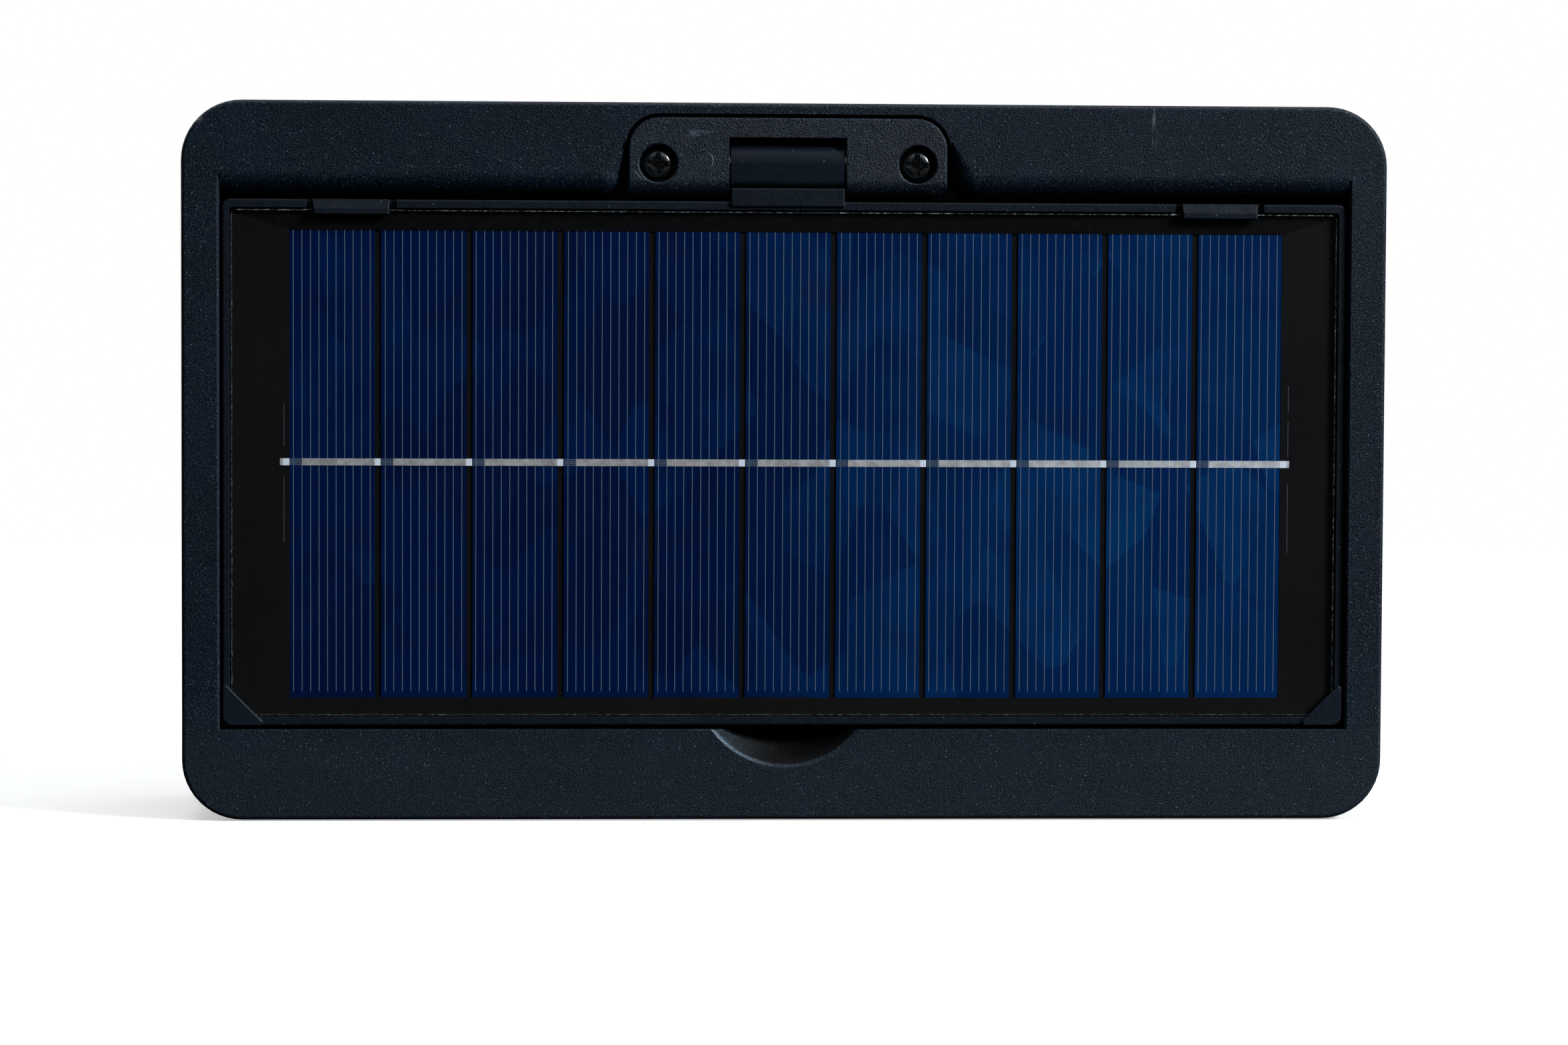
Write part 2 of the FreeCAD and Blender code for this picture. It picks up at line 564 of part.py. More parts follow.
def panel_frame():
    frame = rounded(-FRAME_X, FRAME_X, FRAME_Z0, FRAME_Z1, FRAME_R, FRAME_TOP, FRAME_BACK)
    frame = frame.makeFillet(0.3, front_edges(frame, FRAME_TOP) + front_edges(frame, FRAME_BACK))
    x, z0, z1 = SHEET_X + SHEET_GAP, SHEET_Z0 - SHEET_GAP, SHEET_Z1 + SHEET_GAP
    frame = frame.cut(rounded(-x, x, z0, z1, 0.6, -1, SHEET_BACK))

    reliefs = []
    for side in (-1, 1):
        for a, b in ((HOOK_X[0] - 1.2, HOOK_X[0]), (HOOK_X[1], HOOK_X[1] + 1.1)):
            x0, x1 = sorted((side * a, side * b))
            reliefs.append(block(x0, x1, 0, 3.0, SHEET_Z1, FRAME_Z1 + 1))
    columns, rows, rib, border = 6, 3, 1.8, 5.0
    step_x = (2 * (FRAME_X - border) + rib) / columns
    step_z = (FRAME_Z1 - FRAME_Z0 - 2 * border + rib) / rows
    for i in range(columns):
        for j in range(rows):
            x0 = border - FRAME_X + i * step_x
            z0 = FRAME_Z0 + border + j * step_z
            x1, z1 = x0 + step_x - rib, z0 + step_z - rib
            reliefs.append(rounded(x0, x1, z0, z1, 2.0, FRAME_BACK - 0.8, FRAME_BACK + 1))
    frame = frame.cut(reliefs)

    web_profile = [(1.6, HINGE_Z), (1.6, 104.0), (2.4, 101.6), (FRAME_BACK, 101.6)]
    web_profile += [(FRAME_BACK, 104.6), (6.6, 107.0), (6.6, HINGE_Z)]
    web = bar(web_profile, -TONGUE_X, TONGUE_X)
    apron = block(-TONGUE_X, TONGUE_X, HINGE_D - BARREL_R, 3.0, 105.0, HINGE_Z)
    low_edge = front_edges(apron, HINGE_D - BARREL_R, lambda e: e.BoundBox.ZMax < 105.1)
    apron = apron.makeFillet(1.2, low_edge)
    tab = block(-TONGUE_X, TONGUE_X, 0.5, 3.0, 101.85, 104.95)
    tab = tab.makeFillet(0.25, front_edges(tab, 0.5))
    barrel = rod_x(-TONGUE_X, TONGUE_X, HINGE_D, HINGE_Z, BARREL_R)
    pieces = [web, apron, tab, barrel, hook(-1), hook(1), corner_clip(-1), corner_clip(1)]
    frame = frame.fuse(pieces).removeSplitter()

    start, turn, axis, _ = lead_route()
    slot = block(-0.9, 0.9, SHEET_BACK - 0.1, FRAME_BACK + 0.1, start[2] - 1, SHEET_Z1)
    bore = rod_z(0, turn[1], SHEET_Z1 - 1, turn[2] + 0.6, 0.85)
    rise = Vector(0, axis[1] - turn[1], axis[2] - turn[2])
    slant = Part.makeCylinder(0.85, rise.Length, Vector(0, y_at(turn[1]), turn[2]), rise)
    pin_bore = rod_x(-20, 20, HINGE_D, HINGE_Z, PIN_R + PIN_FIT)
    return frame.cut([slot, bore, slant, pin_bore])


def pv_cover_sheet():
    """Clear cover over the cells."""
    sheet = rounded(-SHEET_X, SHEET_X, SHEET_Z0, SHEET_Z1, 1.1, SHEET_TOP, SHEET_TOP + COVER_SHEET)
    return sheet.makeChamfer(0.2, front_edges(sheet, SHEET_TOP))


def pv_backboard():
    """Black board that carries the cells, with a shallow pocket for them."""
    top = SHEET_TOP + COVER_SHEET
    board = rounded(-SHEET_X, SHEET_X, SHEET_Z0, SHEET_Z1, 0.5, top, SHEET_BACK)
    x0, x1 = cell_starts()[0], cell_starts()[-1] + CELL_W
    z0, z1 = RIBBON_Z - RIBBON_W / 2, RIBBON_Z + RIBBON_W / 2
    pocket = block(x0, x1, top - 1, top + CELL_T + 0.06, CELL_Z0, CELL_Z1)
    first_tip = block(x0 - 1.6, x0, top - 1, top + 0.2, z0, z1)
    last_tip = block(x1, x1 + 1.5, top - 1, top + 0.06, z0, z1)
    return board.cut([pocket, first_tip, last_tip])


def cell_starts():
    first = CELL_SHIFT - (CELL_COUNT - 1) / 2 * CELL_PITCH - CELL_W / 2
    return [first + i * CELL_PITCH for i in range(CELL_COUNT)]


def solar_cells():
    back = SHEET_TOP + COVER_SHEET + CELL_T + 0.06
    cells = [block(x, x + CELL_W, back - CELL_T, back, CELL_Z0, CELL_Z1) for x in cell_starts()]
    return Part.makeCompound(cells)


def cell_ribbons():
    """Flat tinned ribbons that join the cells in one string."""
    top = SHEET_TOP + COVER_SHEET
    z0, z1 = RIBBON_Z - RIBBON_W / 2, RIBBON_Z + RIBBON_W / 2
    starts = cell_starts()
    strips = [block(starts[0] - 1.6, starts[0] - 0.05, top, top + 0.2, z0, z1)]
    for x in starts:
        past = 1.5 if x == starts[-1] else 0.95
        strips.append(block(x + 2.0, x + CELL_W + past, top, top + 0.06, z0, z1))
    return Part.makeCompound(strips)


def panel_lead():
    return tube(lead_route(), 0.7, 1.0)


# ---------------------------------------------------------------- lamps
def lamp_posts(side):
    return [(side * LAMP_X + dx, LAMP_Z + dz) for dx, dz in LAMP_POSTS]


def lamp_spots(side):
    return [(side * LAMP_X + column, LAMP_Z + row) for column in CUP_COLUMNS for row in CUP_ROWS]


def lamp_cover(side):
    """Clear cover, ribbed on its inner face to spread the light."""
    x = side * LAMP_X
    cover = centred(x, LAMP_Z, LAMP_COVER, FACE - 1.1, FACE + 0.9)
    cover = cover.makeFillet(0.7, front_edges(cover, FACE + 0.9))
    ribs = [rod_z(x - 20 + 5 * i, FACE - 1.1, LAMP_Z - 31, LAMP_Z + 31, 0.8) for i in range(9)]
    return cover.fuse(ribs).removeSplitter()


def reflector(side):
    """Bright plate with a cone-shaped cup round each LED."""
    d0, d1 = REFLECTOR_D
    cups = [cone_y(x, z, d0 - 0.01, d1 + 0.01, CUP_BACK_R, CUP_R) for x, z in lamp_spots(side)]
    posts = [rod_y(x, z, d0 - 1, d1 + 1, 2.2) for x, z in lamp_posts(side)]
    return centred(side * LAMP_X, LAMP_Z, LAMP_PLATE, d0, d1).cut(cups + posts)


def lamp_boards():
    d0, d1 = LAMP_BOARD_D
    boards = []
    for side in (-1, 1):
        holes = [rod_y(x, z, d0 - 1, d1 + 1, 1.1) for x, z in lamp_posts(side)]
        boards.append(centred(side * LAMP_X, LAMP_Z, LAMP_PLATE, d0, d1).cut(holes))
    return Part.makeCompound(boards)


def lamp_leds():
    back = LAMP_BOARD_D[1]
    half = 1.75
    spots = lamp_spots(-1) + lamp_spots(1)
    chips = [block(x - half, x + half, back, back + 0.8, z - half, z + half) for x, z in spots]
    return Part.makeCompound(chips)


def lamp_cover_left():
    return lamp_cover(-1)


def lamp_cover_right():
    return lamp_cover(1)


def lamp_reflector_left():
    return reflector(-1)


def lamp_reflector_right():
    return reflector(1)


# ---------------------------------------------------------------- camera and sensors
def camera_window():
    """Glossy dark window plate round the lens."""
    z0, z1 = WINDOW_Z
    window = rounded(-WINDOW_X, WINDOW_X, z0, z1, WINDOW_R, WINDOW_BACK, PLINTH)
    window = window.makeFillet(0.3, front_edges(window, PLINTH))
    cuts = [rod_y(0, LENS_Z, PARTING, PLINTH + 1, BEZEL_R + 0.1)]
    cuts += [rod_y(x, z, PARTING, PLINTH + 1, IR_R + 0.1) for x, z in IR_LEDS]
    cuts.append(rod_y(0.0, SMALL_PORTS_Z, PARTING, PLINTH + 1, 0.6))
    cuts.append(rod_y(8.0, SMALL_PORTS_Z, PARTING, PLINTH + 1, 1.25))
    return window.cut(cuts)


def lens_bezel():
    profile = [(9.6, 38.6), (14.3, 38.6), (14.3, 39.5), (BEZEL_R, 39.5), (BEZEL_R, 46.9), (12.6, 47.4)]
    profile += [(12.0, 47.4), (11.2, 46.4), (10.8, 46.4), (10.2, 45.4), (9.6, 45.4)]
    return turned(profile, 0, LENS_Z)


def lens_glass():
    radius, rise = 9.4, 1.8
    ball_r = (radius ** 2 + rise ** 2) / (2 * rise)
    top = 46.2
    disc = rod_y(0, LENS_Z, top - rise - 1.0, top, radius)
    return disc.common(Part.makeSphere(ball_r, Vector(0, y_at(top - ball_r), LENS_Z)))


def inner_lens():
    disc = rod_y(0, LENS_Z, 37.0, 39.4, 6.4)
    return disc.common(Part.makeSphere(14.0, Vector(0, y_at(39.4 - 14.0), LENS_Z)))


def lens_barrel():
    profile = [(2.2, 34.6), (5.4, 34.6), (5.4, 24.0), (7.4, 24.0), (7.4, 40.0), (9.4, 40.0), (9.4, 43.3)]
    profile += [(8.6, 43.3), (8.6, 41.6), (7.6, 41.6), (7.6, 40.4), (6.5, 40.4), (6.5, 36.0), (2.2, 35.2)]
    barrel = turned(profile, 0, LENS_Z)
    grooves = [turned([(7.1, d), (7.6, d), (7.6, d + 0.4), (7.1, d + 0.4)], 0, LENS_Z) for d in range(25, 39)]
    return barrel.cut(grooves)


def lens_holder():
    holder = rounded(-11.0, 11.0, LENS_Z - 11.0, LENS_Z + 11.0, 1.5, SENSOR_BOARD_D[1], 30.0)
    return holder.cut([rod_y(0, LENS_Z, 23.5, 31.0, 7.5), block(-7, 7, 19, 23.5, LENS_Z - 7, LENS_Z + 7)])


def camera_board():
    board = rounded(-17.0, 17.0, LENS_Z - 17.0, LENS_Z + 17.0, 2.0, *SENSOR_BOARD_D)
    return board.cut([rod_y(x, z, 0, 40, 1.1) for x, z in CAMERA_POSTS])


def image_sensor():
    base = block(-5.0, 5.0, 19.9, 20.9, LENS_Z - 5.0, LENS_Z + 5.0)
    return base.fuse(block(-3.6, 3.6, 20.9, 21.2, LENS_Z - 3.0, LENS_Z + 3.0))


def ir_board():
    board = rounded(-20.5, 20.5, 53.0, 105.5, 3.0, *IR_BOARD_D)
    return board.cut([rod_y(0, LENS_Z, 30, 45, 14.5)] + [rod_y(x, z, 30, 45, 2.2) for x, z in CAMERA_POSTS])


def ir_leds():
    leds = []
    for x, z in IR_LEDS:
        body = rod_y(x, z, IR_BOARD_D[1], 43.4, IR_R)
        dome = Part.makeSphere(IR_R, Vector(x, y_at(43.4), z))
        leds.append(body.fuse(dome.common(block(x - 3, x + 3, 43.3, 47, z - 3, z + 3))).removeSplitter())
    return Part.makeCompound(leds)


def light_sensor():
    return rod_y(-8.0, SMALL_PORTS_Z, IR_BOARD_D[1], 42.3, 1.6)


def status_light_pipe():
    return rod_y(8.0, SMALL_PORTS_Z, IR_BOARD_D[1] + 0.8, PLINTH, 1.2)


def microphone():
    can = block(-1.9, 1.9, IR_BOARD_D[1], 39.5, SMALL_PORTS_Z - 1.4, SMALL_PORTS_Z + 1.4)
    return can.cut(rod_y(0, SMALL_PORTS_Z, 39.0, 40, 0.35))


def pir_dome():
    """Thin milky lens dome of the motion sensor, with a flange behind the plinth's wall."""
    skin = 0.8
    base = PLINTH
    radius = (PIR_R ** 2 + DOME_RISE ** 2) / (2 * DOME_RISE)
    inner_r = radius - skin
    centre = base + DOME_RISE - radius
    ball = Part.makeSphere(radius, Vector(0, y_at(centre), PIR_Z))
    hollow = Part.makeSphere(inner_r, Vector(0, y_at(centre), PIR_Z))
    cap = ball.cut(hollow).common(rod_y(0, PIR_Z, base, base + DOME_RISE + 1, 20.0))
    inner_neck = math.sqrt(inner_r ** 2 - (base - centre) ** 2)
    neck = rod_y(0, PIR_Z, 40.9, base, PIR_R).cut(rod_y(0, PIR_Z, 40, base + 1, inner_neck))
    flange = rod_y(0, PIR_Z, 40.9, 42.0, PIR_FLANGE_R).cut(rod_y(0, PIR_Z, 40, 43, inner_neck))
    return fused([cap, neck, flange])


def pir_sensor():
    can = rod_y(0, PIR_Z, PIR_BOARD_D[1], 36.2, 4.1).fuse(rod_y(0, PIR_Z, PIR_BOARD_D[1], 32.8, 4.7))
    return can.cut(block(-2.0, 2.0, 35.7, 37, PIR_Z - 1.5, PIR_Z + 1.5)).removeSplitter()


def pir_board():
    board = rounded(-14.0, 14.0, PIR_Z - 14.0, PIR_Z + 14.0, 2.0, *PIR_BOARD_D)
    return board.cut([rod_y(x, z, 25, 40, 1.1) for x, z in PIR_POSTS])


def speaker():
    """Small speaker: its magnet and basket, and the cone inside the rim."""
    basket = [(0, 35.0), (3.8, 35.0), (3.8, 38.0), (SPEAKER_R, 39.8), (SPEAKER_R, 41.9)]
    basket += [(5.4, 41.9), (5.4, 40.3), (3.0, 38.6), (0, 38.6)]
    cone = [(0, 39.7), (1.8, 39.3), (5.35, 41.0), (5.35, 41.4), (1.8, 39.7), (0, 40.1)]
    return Part.makeCompound([turned(basket, 0, SPEAKER_Z), turned(cone, 0, SPEAKER_Z)])


# ---------------------------------------------------------------- boards and battery
def main_board():
    board = rounded(-27.0, 27.0, 22.0, 102.0, 2.0, *MAIN_BOARD_D)
    return board.cut([rod_y(x, z, 0, 20, 1.2) for x, z in BOARD_POSTS])


def board_screws():
    """The same small screw holds every board inside."""
    driven = [(x, z, SENSOR_BOARD_D[0]) for x, z in CAMERA_POSTS]
    driven += [(x, z, PIR_BOARD_D[0]) for x, z in PIR_POSTS]
    driven += [(x, z, LAMP_BOARD_D[0]) for side in (-1, 1) for x, z in lamp_posts(side)]
    screws = [pan_screw(x, z, seat, 1.9, 1.2, 4.8, 0.95) for x, z, seat in driven]
    middle = y_at(MAIN_BOARD_D[1])
    for x, z in BOARD_POSTS:
        screw = pan_screw(x, z, MAIN_BOARD_D[1], 1.9, 1.2, 4.8, 0.95)
        screws.append(screw.rotated(Vector(x, middle, z), Vector(0, 0, 1), 180))
    return Part.makeCompound(screws)


def shield_cans():
    back = MAIN_BOARD_D[1]
    top = back + 2.4
    cans = [block(-20, 2, back, top, 58, 78), block(6, 22, back, top, 78, 94)]
    return Part.makeCompound([can.makeFillet(0.5, front_edges(can, top)) for can in cans])


def board_parts():
    """Chips, coils and connectors on the main board."""
    top = MAIN_BOARD_D[1]
    flat = [(-14, 48, 8, 8, 1.0), (-2, 48, 6, 6, 0.9), (8, 66, 9, 7, 1.2)]
    flat += [(-20, 88, 7, 6, 1.0), (-8, 86, 9, 5, 1.2)]
    tall = [(10, 50, 7, 7, 2.8), (18, 50, 5, 5, 2.4), (-23, 34, 6, 8, 4.6)]
    tall += [(14, 34, 8, 6, 4.2), (0, 30, 8, 6, 4.2)]
    return Part.makeCompound([block(x, x + w, top, top + h, z, z + l) for x, z, w, l, h in flat + tall])


def camera_ribbon():
    """Flat flex from the camera board down to the main board."""
    outer = [(18.6, 69.0), (18.3, 69.0), (18.3, 65.5), (14.0, 62.0), (14.0, 56.5)]
    inner = [(14.3, 56.5), (14.3, 61.8), (18.6, 65.3)]
    ribbon = bar(outer + inner, -6.0, 6.0)
    return ribbon.cut(block(-21, 2.5, 13, 16, 57.5, 79))


def batteries():
    z0, z1 = CELL_18650_Z
    cells = []
    for side in (-1, 1):
        cell = rod_z(side * BATTERY_X, BATTERY_D, z0, z1 - 1.2, CELL_18650_R)
        rims = [e for e in cell.Edges if e.BoundBox.ZLength < 0.01]
        cell = cell.makeFillet(0.6, rims)
        cells.append(cell.fuse(rod_z(side * BATTERY_X, BATTERY_D, z1 - 1.3, z1, 2.8)).removeSplitter())
    return Part.makeCompound(cells)


def battery_cradles():
    parts = []
    for side in (-1, 1):
        for z in (36.0, 78.0):
            x = side * BATTERY_X
            saddle = block(x - 11.5, x + 11.5, FLOOR_BACK, 19.0, z, z + 7.0)
            parts.append(saddle.cut(rod_z(x, BATTERY_D, z - 1, z + 8, CELL_18650_R + 0.1)))
    return Part.makeCompound(parts)


def battery_tabs():
    """Nickel strips on the ends of the cells."""
    z0, z1 = CELL_18650_Z
    strips = []
    for side in (-1, 1):
        x = side * BATTERY_X
        strips.append(block(x - 3, x + 3, BATTERY_D - 3, BATTERY_D + 3, z1, z1 + 0.2))
        strips.append(block(x - 3, x + 3, BATTERY_D - 3, BATTERY_D + 3, z0 - 0.2, z0))
    return Part.makeCompound(strips)


def battery_leads():
    """Wires from the cells' tabs to the main board."""
    leads = []
    z0, z1 = CELL_18650_Z
    for side in (-1, 1):
        top_d = BATTERY_D - side * 1.0
        x = side * BATTERY_X
        top = [(x, top_d, z1 + 0.95), (x - side * 18, top_d, z1 + 0.95), (x - side * 18, top_d, 74.0)]
        top += [(side * 30.0, 15.0, 74.0), (side * 26.2, 15.0, 74.0)]
        low = [(x, top_d, z0 - 0.95), (x - side * 16, top_d, z0 - 0.95), (x - side * 16, top_d, 44.0)]
        low += [(side * 30.0, 15.0, 44.0), (side * 26.2, 15.0, 44.0)]
        leads += [tube(top, 0.7, 2.0), tube(low, 0.7, 2.0)]
    return leads


def inner_leads():
    """Every wire inside the housing; the last one takes over from the panel's lead at the hinge tube."""
    route = [(17.02, HINGE_D, HINGE_Z), (18.0, HINGE_D, HINGE_Z), (18.0, 16.0, HINGE_Z), (18.0, 16.0, 97.0)]
    return Part.makeCompound(battery_leads() + lamp_leads() + [tube(route, 0.7, 0.8)])


def lamp_leads():
    """Wires from the main board to the lamps."""
    leads = []
    for side in (-1, 1):
        route = [(side * 50.0, LAMP_BOARD_D[0] - 0.8, 90.0), (side * 40.0, LAMP_BOARD_D[0] - 0.8, 90.0)]
        route += [(side * 34.0, 22.0, 84.0), (side * 26.0, 17.0, 84.0)]
        leads.append(tube(route, 0.7, 2.0))
    return leads


def wifi_antenna():
    return rounded(-70.0, -40.0, 101.5, 109.5, 1.0, FACE - WALL - 0.35, FACE - WALL)


# ---------------------------------------------------------------- side controls and base
def side_boards():
    """Small boards behind the ports and behind the power button."""
    ports = block(76.0, 92.8, *PORT_BOARD_D, 27.5, 56.5)
    return Part.makeCompound([ports, side_plate(SIDE_D, SIDE_Z, 6.0, 12.0, 1.0, -92.6, -91.4)])


def usb_port():
    outer = side_plate(19.4, USB_Z, 1.6, 4.47, 1.5, 87.8, BAY_FLOOR_X)
    inner = side_plate(19.4, USB_Z, 1.3, 4.17, 1.2, 89.0, BAY_FLOOR_X + 1)
    return outer.cut(inner).fuse(block(88.5, 94.3, 19.05, 19.75, USB_Z - 3.35, USB_Z + 3.35))


def card_socket():
    shell = block(78.5, 92.9, 19.1, PORT_BOARD_D[0], CARD_Z - 7.0, CARD_Z + 7.0)
    return shell.cut(block(79.0, 94.0, 19.45, 20.65, CARD_Z - 5.6, CARD_Z + 5.6))


def memory_card():
    card = side_plate(20.05, CARD_Z, 0.5, 5.5, 0.2, 79.2, 94.2)
    return card.cut(block(93.2, 93.8, 19.3, 19.7, CARD_Z - 4, CARD_Z + 4))


def port_door():
    """Flush door over the ports; it folds out about its edge nearest the solar face."""
    x, d = DOOR_AXIS
    half_d, half_z = (h - DOOR_GAP for h in BAY_HALF)
    door = side_plate(SIDE_D, SIDE_Z, half_d, half_z, 2.7, HALF_W - DOOR_T, HALF_W, 0.5)
    turning_edge = rod_z(x, d, 0, 80, d - SIDE_D + half_d)
    door = door.common(turning_edge.fuse(block(90, HALF_W, d, 40, 0, 80)))
    nail_groove = rod_z(HALF_W + 0.9, SIDE_D + half_d - 2.2, SIDE_Z - 4, SIDE_Z + 4, 1.4)
    return door.cut([nail_groove, rod_z(x, d, 0, 80, DOOR_PIN_R + PIN_FIT)]).removeSplitter()


def door_seal():
    """Rubber ring on the door's inner face."""
    half_d, half_z = (h - DOOR_GAP for h in BAY_HALF)
    middle = SIDE_D + 0.5
    ring = side_plate(middle, SIDE_Z, half_d - 1.6, half_z - 1.2, 1.6, HALF_W - DOOR_T - 1.4, HALF_W - DOOR_T)
    return ring.cut(side_plate(middle, SIDE_Z, half_d - 2.8, half_z - 2.4, 0.8, 90, HALF_W))


def door_pin():
    return rod_z(*DOOR_AXIS, *DOOR_PIN_Z, DOOR_PIN_R)


def power_button():
    cap = rod_x(-HALF_W + 0.1, -97.0, SIDE_D, SIDE_Z, BUTTON_R)
    cap = cap.makeFillet(0.6, [e for e in cap.Edges if e.BoundBox.XMax < -HALF_W + 0.2])
    flange = rod_x(-97.5, -96.6, SIDE_D, SIDE_Z, BUTTON_R + 1.0)
    stem = rod_x(-96.7, -95.9, SIDE_D, SIDE_Z, 2.0)
    return cap.fuse([flange, stem]).removeSplitter()


def tact_switch():
    body = block(-94.6, -92.6, SIDE_D - 3, SIDE_D + 3, SIDE_Z - 3, SIDE_Z + 3)
    return body.fuse(rod_x(-95.2, -94.6, SIDE_D, SIDE_Z, 1.6)).removeSplitter()


def tripod_block_shape(grow):
    x, d0, d1 = 13 + grow, TRIPOD_D - 8 - grow, TRIPOD_D + 8 + grow
    corners = [(-x, d0), (x, d0), (x, d1), (-x, d1)]
    wire = outline(corners, [2.0 + grow] * 4, lambda a, b: Vector(a, y_at(b), 0))
    return Part.Face(wire).extrude(Vector(0, 0, 13.0))


def tripod_block():
    """Moulded block in the base that the threaded insert is pressed into."""
    foot = block(-16.0, 16.0, TRIPOD_D - 8.4, TRIPOD_D + 10.4, WALL, WALL + 2.0)
    solid = tripod_block_shape(0.0).fuse(foot).removeSplitter()
    return solid.cut(rod_z(0, TRIPOD_D, -1, INSERT_H, INSERT_R))


def tripod_insert():
    """Brass insert for a 1/4 inch tripod screw; the hole is at the thread's inner diameter."""
    insert = rod_z(0, TRIPOD_D, 0, INSERT_H, INSERT_R)
    hole = rod_z(0, TRIPOD_D, -1, TRIPOD_HOLE_DEPTH, TRIPOD_HOLE_R)
    return insert.cut(hole)


# ---------------------------------------------------------------- build
NODES = [
    rear_shell, front_shell, shell_gasket, shell_screws,
    hinge_cover, hinge_cover_screws, hinge_pin, hinge_tube, friction_washers, panel_bumpers,
    panel_frame, pv_cover_sheet, pv_backboard, solar_cells, cell_ribbons, panel_lead,
    lamp_cover_left, lamp_cover_right, lamp_reflector_left, lamp_reflector_right, lamp_boards, lamp_leds,
    camera_window, lens_bezel, lens_glass, inner_lens, lens_barrel, lens_holder, camera_board, image_sensor,
    ir_board, ir_leds, light_sensor, status_light_pipe, microphone,
    pir_dome, pir_sensor, pir_board, speaker,
    main_board, board_screws, shield_cans, board_parts, camera_ribbon, wifi_antenna,
    batteries, battery_cradles, battery_tabs, inner_leads,
    side_boards, usb_port, card_socket, memory_card, port_door, door_seal, door_pin,
    power_button, tact_switch,
    tripod_block, tripod_insert,
]


def main():
    os.makedirs("parts", exist_ok=True)
    for make in NODES:
        shape = make()
        state = "ok" if shape.isValid() and shape.Volume > 0 else "not valid"
        print(f"{make.__name__:22s} {state} solids {len(shape.Solids):3d} volume {shape.Volume:10.1f}")
        shape.exportStep(f"parts/{make.__name__}.step")


main()
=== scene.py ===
import json
import math

import bmesh
import bpy
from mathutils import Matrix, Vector


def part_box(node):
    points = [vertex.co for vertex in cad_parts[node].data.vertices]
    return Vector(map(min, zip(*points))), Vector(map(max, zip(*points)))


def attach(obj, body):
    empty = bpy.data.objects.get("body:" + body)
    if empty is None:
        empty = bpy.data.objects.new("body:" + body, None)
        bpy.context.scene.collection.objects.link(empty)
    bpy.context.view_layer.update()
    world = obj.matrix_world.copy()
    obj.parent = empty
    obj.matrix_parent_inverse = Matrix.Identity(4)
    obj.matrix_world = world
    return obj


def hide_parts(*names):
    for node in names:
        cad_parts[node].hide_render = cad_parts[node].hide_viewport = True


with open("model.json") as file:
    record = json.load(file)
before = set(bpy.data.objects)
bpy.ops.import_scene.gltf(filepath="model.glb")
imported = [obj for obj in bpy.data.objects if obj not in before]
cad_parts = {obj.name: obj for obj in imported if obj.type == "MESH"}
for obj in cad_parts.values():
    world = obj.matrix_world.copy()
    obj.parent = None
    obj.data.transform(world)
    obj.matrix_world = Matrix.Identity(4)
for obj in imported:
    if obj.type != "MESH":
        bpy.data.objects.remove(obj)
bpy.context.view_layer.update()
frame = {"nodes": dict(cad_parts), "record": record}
NODES = frame["nodes"]
MM = 0.001

# row of solar cells, in millimetres
CELL_COUNT = 11
CELL_WIDTH = 14.05
CELL_PITCH = 15.10
FIRST_CELL = -82.275  # left edge of the first cell
FINGERS = 10  # printed lines on each cell
FINGER_PITCH = 1.405


